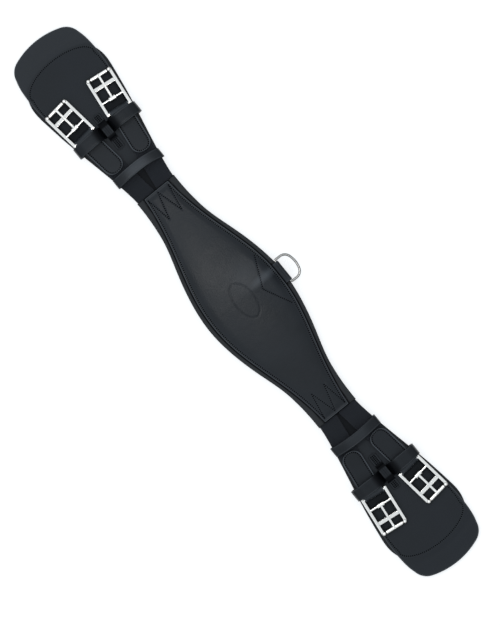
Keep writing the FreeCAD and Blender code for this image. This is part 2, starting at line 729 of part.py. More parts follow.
def make_prong(name, end, side):
    """Tongue that curls round the prong bar and rests on the roller."""
    body = new_body(name + "_prong")
    pivot_x = -size("prong_bar_at")
    thickness = size("prong_thickness")
    rest = size("bar_height") + size("roller_radius") + size("prong_rest_gap") + thickness / 2
    root = size("bar_height") + size("curl_radius") - thickness / 2
    line = [(pivot_x + along, root + rise) for along, rise in PRONG_ROOT]
    line += [(along, rest + rise) for along, rise in PRONG_REST]
    line.append((-size("prong_tip_at"), rest))
    curl = add_sketch(body, name + "_curl", "XZ_Plane")
    bind_circle(curl, "-dims.prong_bar_at", "dims.bar_height", "dims.curl_radius")
    add_pad(body, curl, "dims.curl_width", symmetric=True)
    arm = add_sketch(body, name + "_arm", "XZ_Plane")
    add_edges(arm, closed_polygon(band_outline(line, thickness)))
    add_pad(body, arm, "dims.prong_width", symmetric=True)
    bore = add_sketch(body, name + "_bore", "XZ_Plane")
    bind_circle(bore, "-dims.prong_bar_at", "dims.bar_height", "dims.prong_bar_radius + dims.curl_gap")
    add_pocket(body, bore, "dims.curl_width + 2", symmetric=True)
    body.Placement = strap_place(end, side)
    return body


def dee_place():
    """The dee ring's own frame: origin at the middle of its straight bar."""
    middle = Vector(size("dee_at_x"), size("dee_bar_y"), size("dee_bar_z"))
    return FreeCAD.Placement(middle, FreeCAD.Rotation())


def dee_path():
    """Middle line of the ring's wire: bar, two small bends, straight sides and a crown of three arcs."""
    width = size("dee_half_width")
    depth = size("dee_depth")
    bend = size("dee_bend_radius")
    bend_inset = bend * (1 - math.cos(math.radians(45)))
    crown_radius = size("dee_crown_radius")
    crown_half = size("dee_crown_half_width")
    crown_rise = math.sqrt(crown_radius ** 2 - crown_half ** 2)
    share = crown_half / crown_radius
    shoulder_radius = (width - crown_half) / (1 - share)
    crown_y = depth - crown_radius
    shoulder_x = width - shoulder_radius
    shoulder_y = crown_y + (crown_radius - shoulder_radius) * crown_rise / crown_radius
    start = math.degrees(math.acos(share))
    shoulder = [polar((shoulder_x, shoulder_y), shoulder_radius, angle) for angle in (start, start / 2, 0.0)]
    edges = [Part.LineSegment(Vector(bend - width, 0, 0), Vector(width - bend, 0, 0))]
    for sign in (1, -1):
        bend_start = Vector(sign * (width - bend), 0, 0)
        bend_middle = Vector(sign * (width - bend_inset), bend_inset, 0)
        bend_end = Vector(sign * width, bend, 0)
        corner = [Vector(sign * x, y, 0) for x, y in shoulder]
        edges.append(Part.Arc(bend_start, bend_middle, bend_end))
        edges.append(Part.LineSegment(bend_end, corner[2]))
        edges.append(Part.Arc(*corner))
    front = Vector(crown_half, crown_y + crown_rise, 0)
    edges.append(Part.Arc(front, Vector(0, depth, 0), Vector(-front.x, front.y, 0)))
    return edges


def make_dee_ring():
    """Ring of round wire with one straight side."""
    body = new_body("dee_ring")
    path = add_sketch(body, "dee_path", "XY_Plane")
    add_edges(path, dee_path())
    wire = add_sketch(body, "dee_wire", "YZ_Plane")
    bind_circle(wire, "0", "0", "dims.dee_wire_radius")
    pipe = body.newObject("PartDesign::AdditivePipe", "dee_pipe")
    pipe.Profile = wire
    pipe.Spine = path
    body.Tip = pipe
    body.Placement = dee_place()
    return body


def make_dee_chape():
    """Leather loop round the dee ring's bar, with its tail sewn under the centre panel."""
    body = new_body("dee_chape")
    loop = add_sketch(body, "dee_loop", "YZ_Plane")
    bind_circle(loop, "0", "0", "dims.dee_wire_radius + dims.dee_chape_gap + dims.dee_chape_leather")
    add_pad(body, loop, "dims.dee_chape_width", symmetric=True)
    tail = add_sketch(body, "dee_tail", "YZ_Plane")
    bind_box(
        tail,
        "-dims.dee_tail",
        "dims.backing_bottom + dims.dee_tail_gap - dims.dee_bar_z",
        "-dims.dee_wire_radius",
        "dims.backing_bottom + dims.backing_leather - dims.dee_bar_z",
    )
    add_pad(body, tail, "dims.dee_chape_width", symmetric=True)
    bore = add_sketch(body, "dee_loop_bore", "YZ_Plane")
    bind_circle(bore, "0", "0", "dims.dee_wire_radius + dims.dee_chape_gap")
    add_pocket(body, bore, "dims.dee_chape_width + 2", symmetric=True)
    body.Placement = dee_place()
    return body


def make_all():
    """Make every sub-part of the girth."""
    pieces = [make_lining(), make_foam_core(), make_centre_padding(), make_reinforcing_web()]
    pieces += [make_centre_backing(), make_centre_panel(), make_dee_chape(), make_dee_ring()]
    for end_name, end in ENDS.items():
        pieces.append(make_flap_leather(end_name, end))
        pieces.append(make_wide_keeper(end_name, end))
        pieces.append(make_centre_tab(end_name, end))
        pieces.append(make_narrow_keeper(end_name, end))
        for side_name, side in SIDES.items():
            name = end_name + "_" + side_name
            pieces.append(make_elastic(name, end, side))
            pieces.append(make_chape(name, end, side))
            pieces.append(make_buckle_frame(name, end, side))
            pieces.append(make_roller(name, end, side))
            pieces.append(make_prong(name, end, side))
    return pieces


def check(pieces):
    """Stop if any object failed or any sub-part has no sound solid."""
    for item in doc.Objects:
        if any(word in item.State for word in ("Invalid", "Error")):
            raise RuntimeError("%s failed: %s" % (item.Name, item.State))
    for piece in pieces:
        if piece.Shape.isNull() or not piece.Shape.isValid() or not piece.Shape.Solids:
            raise RuntimeError("%s has no sound shape" % piece.Label)


def write(pieces):
    """Write one STEP file for each sub-part."""
    os.makedirs("parts", exist_ok=True)
    for piece in pieces:
        piece.Shape.exportStep(os.path.join("parts", piece.Label + ".step"))


girth = make_all()
doc.recompute()
check(girth)
write(girth)
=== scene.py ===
import json
import math

import bmesh
import bpy
import numpy as np
from mathutils import Matrix, Vector


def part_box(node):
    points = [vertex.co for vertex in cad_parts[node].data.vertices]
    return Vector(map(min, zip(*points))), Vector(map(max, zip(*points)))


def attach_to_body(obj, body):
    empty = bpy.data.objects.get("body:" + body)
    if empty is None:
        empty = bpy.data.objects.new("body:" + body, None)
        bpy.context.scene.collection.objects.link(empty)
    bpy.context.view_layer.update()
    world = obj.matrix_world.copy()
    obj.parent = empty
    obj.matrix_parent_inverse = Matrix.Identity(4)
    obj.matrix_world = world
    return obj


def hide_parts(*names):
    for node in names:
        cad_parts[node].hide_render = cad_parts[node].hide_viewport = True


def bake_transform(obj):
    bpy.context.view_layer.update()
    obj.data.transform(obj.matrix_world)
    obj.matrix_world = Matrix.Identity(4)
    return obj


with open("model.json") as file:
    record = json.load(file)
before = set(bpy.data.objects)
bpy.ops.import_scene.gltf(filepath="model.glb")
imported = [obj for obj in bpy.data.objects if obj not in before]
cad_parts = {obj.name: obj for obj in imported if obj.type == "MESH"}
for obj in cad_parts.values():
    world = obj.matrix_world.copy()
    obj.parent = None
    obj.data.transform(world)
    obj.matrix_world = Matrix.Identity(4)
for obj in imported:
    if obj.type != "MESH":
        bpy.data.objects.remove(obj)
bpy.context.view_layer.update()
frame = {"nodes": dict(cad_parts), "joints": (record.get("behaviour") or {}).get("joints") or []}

# A saddle girth of black leather with nickel buckles. Sizes in this script are millimetres, turned into
# metres when a mesh is made. X runs along the girth, +Y is the front edge and +Z the outer face.

MM = 0.001
ENDS = {"near": 1, "off": -1}
SIDES = {"front": 1, "rear": -1}
JOINTS = {joint["name"]: joint for joint in frame["joints"]}

STITCH_PITCH = 2.5
STITCH_LENGTH = 1.6
STITCH_RADIUS = 0.86
STITCH_FLATNESS = 0.55
EDGE_STITCH_INSET = 2.9
EDGE_DARKNESS = 0.8
UNDERSIDE_DARKNESS = 0.6


# ---------------------------------------------------------------- measures taken from the frame

def box_mm(node):
    """A node's lowest and highest corners in millimetres."""
    low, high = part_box(node)
    return np.array(low) / MM, np.array(high) / MM


def strap_frame(name):
    """Origin, outward and sideways directions of a strap, from its stretch and prong joints."""
    slide = JOINTS[name + "_elastic_stretch"]
    outward = np.array(slide["axis"], float)
    outward /= np.linalg.norm(outward)
    pivot = np.array(JOINTS[name + "_prong_swing"]["pos_m"]) / MM
    aside = np.cross((0, 0, 1.0), outward)
    return pivot, outward, aside


STRAPS = {end + "_" + side: strap_frame(end + "_" + side) for end in ENDS for side in SIDES}


def rear_edge(node, level):
    """The node's -Y edge at one height, as sorted arrays of x and half width."""
    points = np.array([vertex.co for vertex in frame["nodes"][node].data.vertices]) / MM
    on_level = np.abs(points[:, 2] - level) < 0.02
    chosen = points[on_level & (points[:, 1] <= 0.01)]
    table = {}
    for x, y, _ in chosen:
        key = round(float(x), 2)
        table[key] = max(table.get(key, 0.0), -float(y))
    xs = np.array(sorted(table))
    return xs, np.array([table[x] for x in xs])


def edge_function(node, level):
    """Half width of a node as a function of x."""
    xs, widths = rear_edge(node, level)
    return lambda x: np.interp(x, xs, widths)


def run_along(points):
    """Length along a polyline up to each of its points."""
    return np.concatenate([[0.0], np.cumsum(np.linalg.norm(np.diff(points, axis=0), axis=1))])


def resample(points, spacing):
    """Evenly spaced points along a polyline, ends included."""
    points = np.asarray(points, float)
    run = run_along(points)
    count = max(2, int(round(run[-1] / spacing)) + 1)
    places = np.linspace(0.0, run[-1], count)
    return np.stack([np.interp(places, run, points[:, k]) for k in range(points.shape[1])], axis=1)


def smooth_curve(points, spacing):
    """A Catmull-Rom curve through the points, evenly resampled."""
    points = np.asarray(points, float)
    padded = np.vstack([2 * points[0] - points[1], points, 2 * points[-1] - points[-2]])
    out = []
    for i in range(1, len(padded) - 2):
        p0, p1, p2, p3 = padded[i - 1:i + 3]
        for t in np.linspace(0.0, 1.0, 12, endpoint=False):
            out.append(0.5 * (2 * p1 + (p2 - p0) * t + (2 * p0 - 5 * p1 + 4 * p2 - p3) * t ** 2
                              + (3 * p1 - p0 - 3 * p2 + p3) * t ** 3))
    out.append(points[-1])
    return resample(out, spacing)


def node_loop(node, level, spacing):
    """Closed outline of a node that is alike on both sides: along -Y to +X, then back along +Y."""
    xs, widths = rear_edge(node, level)
    rear = resample(np.stack([xs, -widths], axis=1), spacing)
    front = rear[::-1] * np.array([1.0, -1.0])
    pieces = [rear]
    for start, stop, after in ((rear[-1], front[0], front), (front[-1], rear[0], None)):
        if abs(start[1] - stop[1]) > 2 * spacing:
            pieces.append(resample([start, stop], spacing)[1:-1])
        if after is not None:
            pieces.append(after)
    loop = np.vstack(pieces)
    keep = np.linalg.norm(loop - np.roll(loop, 1, axis=0), axis=1) > 1e-4
    return loop[keep]


# ---------------------------------------------------------------- mesh building

def finish_mesh(name, points, faces, material, wear_and_highlight=None, uv=None, seam=None):
    """Turn points in millimetres and faces into a smooth object."""
    mesh = bpy.data.meshes.new(name)
    mesh.from_pydata((np.asarray(points) * MM).tolist(), [], faces)
    # point attributes: paler wear with painted highlights, and dark seams and inked edges with painted shade
    for label, values in (("wear_and_highlight", wear_and_highlight), ("seam", seam)):
        if values is not None:
            attribute = mesh.attributes.new(label, "FLOAT", "POINT")
            attribute.data.foreach_set("value", np.clip(np.asarray(values, np.float32), 0.0, 1.0))
    if uv is not None:
        attribute = mesh.attributes.new("run", "FLOAT_VECTOR", "POINT")
        flat = np.zeros((len(points), 3), np.float32)
        flat[:, :2] = uv
        attribute.data.foreach_set("vector", flat.ravel())
    builder = bmesh.new()
    builder.from_mesh(mesh)
    bmesh.ops.remove_doubles(builder, verts=builder.verts, dist=2e-6)
    bmesh.ops.dissolve_degenerate(builder, edges=builder.edges, dist=1e-7)
    bmesh.ops.recalc_face_normals(builder, faces=builder.faces)
    for face in builder.faces:
        face.smooth = len(face.verts) <= 4
    builder.to_mesh(mesh)
    builder.free()
    mesh.materials.append(material)
    item = bpy.data.objects.new(name, mesh)
    bpy.context.scene.collection.objects.link(item)
    return item


def attach(piece, node, body="pad"):
    """Let a piece ride on a body in a node's place, and hide the node."""
    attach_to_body(piece, body)
    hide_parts(node)


def ring_faces(count, rings):
    """Quads between rings of equal length."""
    faces = []
    for ring in range(rings - 1):
        base = ring * count
        for i in range(count):
            j = (i + 1) % count
            faces.append((base + i, base + j, base + count + j, base + count + i))
    return faces


def tube_faces(count, rings):
    """Quads between rings, and a face over each end."""
    first_ring, last_ring = range(count), range((rings - 1) * count, rings * count)
    return ring_faces(count, rings) + [tuple(first_ring)[::-1], tuple(last_ring)]


def rounding(inset, radius):
    """How far an edge of this radius falls away at an inset from the edge."""
    inside = np.clip(radius - inset, 0.0, radius)
    return radius - np.sqrt(np.maximum(radius ** 2 - inside ** 2, 0.0))


def groove(distance, depth, half_width):
    """A soft groove of a depth round a line."""
    return depth * np.exp(-(np.asarray(distance) / half_width) ** 2)


def flat_at(height):
    """A height that is the same all over, in the form that slab() takes."""
    return lambda x, y, inset: np.full_like(x, height)


def step(value, start, stop):
    """A smooth step from 0 at start to 1 at stop."""
    t = np.clip((np.asarray(value, float) - start) / (stop - start), 0.0, 1.0)
    return t * t * (3 - 2 * t)


def crease_line_and_highlight(inset, at=0.7, width=0.6):
    """Paler line beside a cut edge: leather pressed by a creaser, and a painted highlight on the edge's
    rounding.
    """
    return np.exp(-((np.asarray(inset) - at) / width) ** 2)


ROUNDING_STEPS = (0.0, 0.06, 0.22, 0.55, 1.0)


def slab(name, loop, spine, top, bottom, material, radius, insets=(), rows=4, low_edge=None, shade=None,
         pale=None, edge_line=1.0):
    """A flat leather piece: rings from the underside's middle, round the edge, to the top's middle.

    top and bottom are heights as functions of x, y and the inset from the edge. shade gives the painted shade
    there, and pale how much paler the leather is at x, y, from wear and painted highlights. spine is the pair
    of x between which the rings close on the middle line.
    rings close on the middle line."""
    count = len(loop)
    middle = np.stack([np.clip(loop[:, 0], spine[0], spine[1]), np.zeros(count)], axis=1)
    ahead = np.roll(loop, -1, axis=0) - loop
    behind = loop - np.roll(loop, 1, axis=0)
    reach = np.full(count, 1e9)
    for edge in (ahead, behind):
        normal = np.stack([edge[:, 1], -edge[:, 0]], axis=1)
        normal /= np.linalg.norm(normal, axis=1)[:, None]
        reach = np.minimum(reach, np.abs(((loop - middle) * normal).sum(axis=1)))
    reach = np.maximum(reach, 0.5)
    rings, wear_and_highlight_values, seam_and_shade_values = [], [], []

    def add(share, height, is_top=False):
        share = np.minimum(share, 1.0)
        place = loop + (middle - loop) * share[:, None]
        inset = share * reach
        rings.append(np.column_stack([place, height(place[:, 0], place[:, 1], inset)]))
        paleness = edge_line * crease_line_and_highlight(inset) if is_top else np.zeros(count)
        if is_top and pale is not None:
            paleness = np.maximum(paleness, pale(place[:, 0], place[:, 1]))
        wear_and_highlight_values.append(paleness)
        if not is_top:
            seam_and_shade_values.append(np.full(count, EDGE_DARKNESS if edge_line else 0.0))
        else:
            dark = EDGE_DARKNESS * edge_line * (1 - step(inset, 0.0, 0.3))
            seam_and_shade_values.append(np.maximum(dark, shade(place[:, 0], place[:, 1], inset)) if shade else dark)

    def rounded(height, sign):
        return lambda x, y, inset: height(x, y, inset) - sign * rounding(inset, radius)

    edge_insets = [radius * k for k in ROUNDING_STEPS[::-1]]
    low = bottom if low_edge is None else low_edge
    add(np.ones(count), bottom)
    add(np.full(count, 0.5), bottom)
    if low_edge is not None:
        add(2.2 / reach, bottom)
        add(1.7 / reach, lambda x, y, inset: bottom(x, y, inset) - 0.2)
        add(1.5 / reach, low_edge)
    for inset in edge_insets:
        add(inset / reach, rounded(low, -1))
    for inset in edge_insets[::-1]:
        add(inset / reach, rounded(top, 1), True)
    last = max([radius] + list(insets))
    for inset in insets:
        add(inset / reach, top, True)
    for row in range(1, rows + 1):
        share = last / reach + (1.0 - last / reach) * row / rows
        add(share, top, True)
    points = np.vstack(rings)
    faces = ring_faces(count, len(rings))
    return finish_mesh(name, points, faces, material, np.concatenate(wear_and_highlight_values), points[:, :2],
                       np.concatenate(seam_and_shade_values))


def ribbon(name, path, normals, across, half_widths, thickness, material, radius=0.5, creases=(), columns=8,
           pillow=0.0, edge_line=1.0, shade=None, pale=None):
    """A strap along a path: a rounded section swept along it, closed at both ends.

    normals point to the outer face, across is the direction of the width. creases are (inset, depth,
    half width, darkness) of grooves beside each edge of the outer face, the darkness being painted shade in
    the groove, and shade and pale give the painted shade and the painted highlight of the outer face at each
    point of the path."""
    path = np.asarray(path, float)
    across = np.asarray(across, float)
    inset_list = [radius * k for k in ROUNDING_STEPS] + [0.7, 1.3]
    for inset, _, half_width, _ in creases:
        inset_list += [inset - half_width, inset, inset + half_width]
    inset_list = sorted(set(round(value, 3) for value in inset_list if value >= 0))
    last = inset_list[-1]
    section = [("edge", value, -1) for value in inset_list]
    section += [("share", value, 0) for value in np.linspace(-1, 1, columns + 2)[1:-1]]
    section += [("edge", value, 1) for value in reversed(inset_list)]
    under = [("edge", value, 1) for value in (0.0, 0.22 * radius, radius)]
    under += [("share", value, 0) for value in (0.5, 0.0, -0.5)]
    under += [("edge", value, -1) for value in (radius, 0.22 * radius, 0.0)]
    thickness = np.broadcast_to(np.asarray(thickness, float), (len(path),))
    run = run_along(path)
    points, wear_and_highlight_values, uv, seam_and_shade_values = [], [], [], []
    for k, centre in enumerate(path):
        half = half_widths[k]
        for face_sign, row in ((1, section), (-1, under)):
            for kind, value, sign in row:
                if kind == "edge":
                    inset = min(value, half)
                    lateral = sign * (half - inset)
                else:
                    lateral = value * max(half - last, 0.0)
                    inset = half - abs(lateral)
                end_inset = min(run[k], run[-1] - run[k])
                height = thickness[k] / 2 - rounding(inset, min(radius, thickness[k] / 2))
                dark = EDGE_DARKNESS * (1 - float(step(inset, 0.1, 0.5)))
                if shade is not None:
                    dark = max(dark, float(shade[k]))
                if face_sign > 0:
                    for place, depth, half_width, darkness in creases:
                        share = float(groove(inset - place, 1.0, half_width))
                        height -= share * depth
                        dark = max(dark, darkness * share)
                    height += pillow * step(inset, last, last + 5.0)
                points.append(centre + across * lateral + normals[k] * height * face_sign)
                paleness = edge_line * float(crease_line_and_highlight(min(inset, end_inset + 0.3)))
                if pale is not None:
                    paleness = max(paleness, float(pale[k]))
                wear_and_highlight_values.append(paleness if face_sign > 0 else 0.0)
                seam_and_shade_values.append(dark if face_sign > 0 else UNDERSIDE_DARKNESS)
                uv.append((run[k], lateral))
    count = len(section) + len(under)
    return finish_mesh(name, points, tube_faces(count, len(path)), material, wear_and_highlight_values, uv, seam_and_shade_values)


def path_normals(path, across, index, outer=(0.0, 0.0, 1.0)):
    """Unit normals of a path, square to it and to its width, that face the outer side at one index."""
    tangent = np.gradient(path, axis=0)
    tangent /= np.linalg.norm(tangent, axis=1)[:, None]
    normals = np.cross(tangent, across)
    normals /= np.linalg.norm(normals, axis=1)[:, None]
    return normals if normals[index] @ np.asarray(outer) >= 0 else -normals


def rounded_ends(run, half, end_run, power):
    """Half widths along a strap whose two ends are rounded over a run."""
    least_share = 0.12
    from_end = np.minimum(np.minimum(run, run[-1] - run), end_run)
    return half * np.maximum((1 - (1 - from_end / end_run) ** power) ** (1 / power), least_share)


# ---------------------------------------------------------------- stitches

def stitch_row(name, lines, surface, body="pad", pitch=STITCH_PITCH, lift=0.12):
    """Rows of single stitches along lines of (x, y), each a small capsule lying on a surface."""
    ring_count, rows = 6, (-1.0, -0.8, -0.35, 0.35, 0.8, 1.0)
    capsule = tube_faces(ring_count, len(rows))
    points, faces = [], []
    for line in lines:
        length = run_along(line)[-1]
        places = resample(line, pitch if length > pitch else length / 2)
        for a, b in zip(places[:-1], places[1:]):
            centre, half = (a + b) / 2, (b - a) / 2 * STITCH_LENGTH / STITCH_PITCH
            start = np.append(centre - half, surface(*(centre - half)) + lift)
            stop = np.append(centre + half, surface(*(centre + half)) + lift)
            along = stop - start
            unit = along / np.linalg.norm(along)
            side = np.cross(unit, (0.0, 0.0, 1.0))
            side /= np.linalg.norm(side)
            up = np.cross(side, unit)
            base = len(points)
            for row in rows:
                radius = STITCH_RADIUS * math.sqrt(max(0.0, 1 - row ** 4)) + 0.03
                sink = -0.25 * row * row
                for k in range(ring_count):
                    angle = 2 * math.pi * k / ring_count
                    points.append((start + stop) / 2 + along / 2 * row + up * sink
                                  + side * radius * math.cos(angle)
                                  + up * radius * STITCH_FLATNESS * math.sin(angle))
            faces += [tuple(base + k for k in face) for face in capsule]
    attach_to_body(finish_mesh(name, points, faces, THREAD), body)


# ---------------------------------------------------------------- materials

def new_material(name):
    """An empty node material with its principled shader."""
    material = bpy.data.materials.new(name)
    material.use_nodes = True
    tree = material.node_tree
    return material, tree, tree.nodes["Principled BSDF"]


def add_node(tree, kind, **values):
    """A node with its inputs or properties set by name."""
    node = tree.nodes.new(kind)
    for key, value in values.items():
        if key in node.inputs:
            node.inputs[key].default_value = value
        else:
            setattr(node, key, value)
    return node


def scaled_noise(tree, source, scale, detail=3.0):
    """Noise of a scale per metre over object coordinates."""
    noise = add_node(tree, "ShaderNodeTexNoise", Scale=scale, Detail=detail)
    tree.links.new(source, noise.inputs["Vector"])
    return noise.outputs["Fac"]


def ramp(tree, value, low, high, out_low, out_high):
    """Map a value's range to another, clamped."""
    node = tree.nodes.new("ShaderNodeMapRange")
    tree.links.new(value, node.inputs["Value"])
    for key, number in (("From Min", low), ("From Max", high), ("To Min", out_low), ("To Max", out_high)):
        node.inputs[key].default_value = number
    return node.outputs["Result"]


def combine(tree, operation, first, second):
    """Arithmetic on two sockets or numbers."""
    node = tree.nodes.new("ShaderNodeMath")
    node.operation = operation
    for index, value in enumerate((first, second)):
        if isinstance(value, (int, float)):
            node.inputs[index].default_value = value
        else:
            tree.links.new(value, node.inputs[index])
    return node.outputs[0]


def mix_colour(tree, factor, first, second):
    """Blend two colours by a socket."""
    node = tree.nodes.new("ShaderNodeMix")
    node.data_type = "RGBA"
    tree.links.new(factor, node.inputs["Factor"])
    for index, colour in ((6, first), (7, second)):
        if isinstance(colour, tuple):
            node.inputs[index].default_value = colour
        else:
            tree.links.new(colour, node.inputs[index])
    return node.outputs[2]


def bump(tree, height, distance, strength=1.0, before=None):
    """A bump from a height socket, on top of an earlier one."""
    node = add_node(tree, "ShaderNodeBump", Distance=distance, Strength=strength)
    tree.links.new(height, node.inputs["Height"])
    if before is not None:
        tree.links.new(before, node.inputs["Normal"])
    return node.outputs["Normal"]


# black for seams and inked edges, and for painted shade
SEAM_AND_SHADE_BLACK = (0.0015, 0.0015, 0.002, 1.0)


def leather(name, dark, light, edge, rough, grain, grain_depth, specular):
    """Black leather: pebbled grain, soft wrinkles, uneven dye, paler creased edges with painted highlights,
    and black seams and inked edges with painted shade.
    """
    material, tree, shader = new_material(name)
    coordinates = tree.nodes.new("ShaderNodeTexCoord").outputs["Object"]
    cloudy = scaled_noise(tree, coordinates, 22.0)
    fine = scaled_noise(tree, coordinates, 2600.0, 2.0)
    creases = scaled_noise(tree, coordinates, 160.0, 4.0)
    cells = add_node(tree, "ShaderNodeTexVoronoi", Scale=grain)
    cells.feature = "SMOOTH_F1"
    tree.links.new(coordinates, cells.inputs["Vector"])
    wear_and_highlight = add_node(tree, "ShaderNodeAttribute", attribute_name="wear_and_highlight").outputs["Fac"]
    seam = add_node(tree, "ShaderNodeAttribute", attribute_name="seam").outputs["Fac"]
    paleness = combine(tree, "MULTIPLY", wear_and_highlight, ramp(tree, fine, 0.3, 0.75, 0.55, 1.0))
    colour = mix_colour(tree, ramp(tree, cloudy, 0.3, 0.7, 0.0, 1.0), dark, light)
    colour = mix_colour(tree, paleness, colour, edge)
    # seams, inked edges and painted shade darken the colour towards black
    colour = mix_colour(tree, seam, colour, SEAM_AND_SHADE_BLACK)
    tree.links.new(colour, shader.inputs["Base Color"])
    uneven = combine(tree, "ADD", ramp(tree, cloudy, 0.3, 0.7, -0.04, 0.04),
                     ramp(tree, fine, 0.3, 0.7, -0.03, 0.05))
    roughness = combine(tree, "ADD", combine(tree, "ADD", uneven, rough),
                        combine(tree, "MULTIPLY", wear_and_highlight, 0.1))
    tree.links.new(roughness, shader.inputs["Roughness"])
    gloss = ramp(tree, seam, 0.0, 1.0, specular, specular * 0.15)
    tree.links.new(gloss, shader.inputs["Specular IOR Level"])
    normal = bump(tree, creases, 0.0004, 0.35)
    normal = bump(tree, cells.outputs["Distance"], grain_depth * 2.2, 0.8, normal)
    normal = bump(tree, fine, grain_depth * 0.8, 0.6, normal)
    tree.links.new(normal, shader.inputs["Normal"])
    return material


WEFT_PITCH = 0.7
CORD_PITCH = 1.05


def woven_elastic(name):
    """Black elastic web: lengthwise cords crossed by a fine weft."""
    material, tree, shader = new_material(name)
    run = add_node(tree, "ShaderNodeAttribute", attribute_name="run").outputs["Vector"]
    parts = tree.nodes.new("ShaderNodeSeparateXYZ")
    tree.links.new(run, parts.inputs["Vector"])

    def wave(axis, pitch):
        return combine(tree, "SINE", combine(tree, "MULTIPLY", parts.outputs[axis], 2 * math.pi / pitch), 0.0)

    weave = combine(tree, "MULTIPLY", wave("X", WEFT_PITCH), wave("Y", CORD_PITCH))
    coordinates = tree.nodes.new("ShaderNodeTexCoord").outputs["Object"]
    fluff = scaled_noise(tree, coordinates, 1800.0)
    tone = combine(tree, "ADD", ramp(tree, weave, -1.0, 1.0, 0.0, 0.6), ramp(tree, fluff, 0.3, 0.7, 0.0, 0.4))
    colour = mix_colour(tree, tone, (0.0035, 0.004, 0.006, 1.0), (0.017, 0.019, 0.024, 1.0))
    tree.links.new(colour, shader.inputs["Base Color"])
    shader.inputs["Roughness"].default_value = 0.82
    shader.inputs["Specular IOR Level"].default_value = 0.3
    shader.inputs["Sheen Weight"].default_value = 0.05
    normal = bump(tree, weave, 0.00018, 0.8)
    normal = bump(tree, fluff, 0.0001, 0.5, normal)
    tree.links.new(normal, shader.inputs["Normal"])
    return material


def polished_nickel(name, share):
    """Bright nickel plate with faint polishing marks, and a painted dark reflection where it turns away from
    the view.
    """
    material, tree, shader = new_material(name)
    coordinates = tree.nodes.new("ShaderNodeTexCoord").outputs["Object"]
    cloudy = scaled_noise(tree, coordinates, 120.0)
    marks = scaled_noise(tree, coordinates, 1500.0, 4.0)
    shader.inputs["Metallic"].default_value = 1.0
    rounded = add_node(tree, "ShaderNodeBevel", Radius=0.001).outputs["Normal"]
    layer = add_node(tree, "ShaderNodeLayerWeight", Blend=0.5)
    tree.links.new(rounded, layer.inputs["Normal"])
    facing = layer.outputs["Facing"]
    duller, brighter = (tuple(share * part for part in tone) + (1.0,)
                        for tone in ((0.84, 0.79, 0.73), (0.89, 0.84, 0.78)))
    colour = mix_colour(tree, ramp(tree, cloudy, 0.3, 0.7, 0.0, 1.0), duller, brighter)
    # painted dark reflection where the rounded metal turns away from the view
    colour = mix_colour(tree, ramp(tree, facing, 0.12, 0.6, 0.0, 0.95), colour, (0.03, 0.03, 0.035, 1.0))
    tree.links.new(colour, shader.inputs["Base Color"])
    tree.links.new(ramp(tree, marks, 0.3, 0.75, 0.10, 0.24), shader.inputs["Roughness"])
    tree.links.new(bump(tree, marks, 0.00003, 0.4, rounded), shader.inputs["Normal"])
    return material


def plain_fibre(name, dark, light, scale, rough, specular=0.15):
    """Thread, foam or web: two tones of a fine noise."""
    material, tree, shader = new_material(name)
    coordinates = tree.nodes.new("ShaderNodeTexCoord").outputs["Object"]
    speckle = scaled_noise(tree, coordinates, scale)
    tree.links.new(mix_colour(tree, ramp(tree, speckle, 0.35, 0.65, 0.0, 1.0), dark, light),
                   shader.inputs["Base Color"])
    shader.inputs["Roughness"].default_value = rough
    shader.inputs["Specular IOR Level"].default_value = specular
    tree.links.new(bump(tree, speckle, 0.0001, 0.6), shader.inputs["Normal"])
    return material


def grey(value, blue=1.55):
    """A near-black grey, a little blue."""
    return (value, value * (1 + (blue - 1) * 0.4), value * blue, 1.0)


SMOOTH = leather("smooth_leather", grey(0.0055), grey(0.0085), grey(0.07, 1.2), 0.33, 900.0, 0.00005, 0.22)
STRAP = leather("strap_leather", grey(0.006), grey(0.0095), grey(0.085, 1.2), 0.40, 900.0, 0.00004, 0.22)
MATTE = leather("matte_leather", grey(0.012, 1.1), grey(0.018, 1.1), grey(0.03, 1.0), 0.62, 1100.0,
                0.0001, 0.26)
FLAP = leather("flap_leather", grey(0.0075), grey(0.0098), grey(0.06, 1.1), 0.52, 1000.0, 0.00007, 0.24)
LINING = leather("lining_leather", grey(0.007, 1.2), grey(0.011, 1.2), grey(0.03, 1.0), 0.6, 800.0,
                 0.00012, 0.25)
ELASTIC = woven_elastic("elastic_web")
NICKEL = polished_nickel("polished_nickel", 1.12)
# the dee ring takes a darker copy of the nickel: painted shade on the thin wire
SHADED_RING_NICKEL = polished_nickel("shaded_ring_nickel", 0.42)
THREAD = plain_fibre("thread", grey(0.0008), grey(0.002), 3000.0, 0.8, 0.01)
FOAM = plain_fibre("foam", grey(0.16, 1.0), grey(0.24, 1.0), 900.0, 0.9)
WEB = plain_fibre("nylon_web", grey(0.01), grey(0.03), 1500.0, 0.7)


# ---------------------------------------------------------------- levels shared by the pieces

LINING_LOW, LINING_HIGH = box_mm("lining")
PANEL_LOW, PANEL_HIGH = box_mm("centre_panel")
BACKING_LOW, BACKING_HIGH = box_mm("centre_backing")
FLAP_LOW, FLAP_HIGH = box_mm("near_flap_leather")
DEE_LOW, DEE_HIGH = box_mm("dee_chape")
RIM_TOP = BACKING_HIGH[2] - 0.5
PANEL_EDGE_TOP = PANEL_HIGH[2] - 1.0

pad_half = edge_function("lining", 0.0)
panel_half = edge_function("centre_panel", PANEL_LOW[2])

ARC_CENTRE = LINING_HIGH[0] - 26.5
ARC_LENGTH = 21.4
ARC_HALF = 48.0
ARC_ZONE_START = ARC_CENTRE - 8
SEAM_INSET = 6.3
MM_PER_ARC_SHARE = 30.0


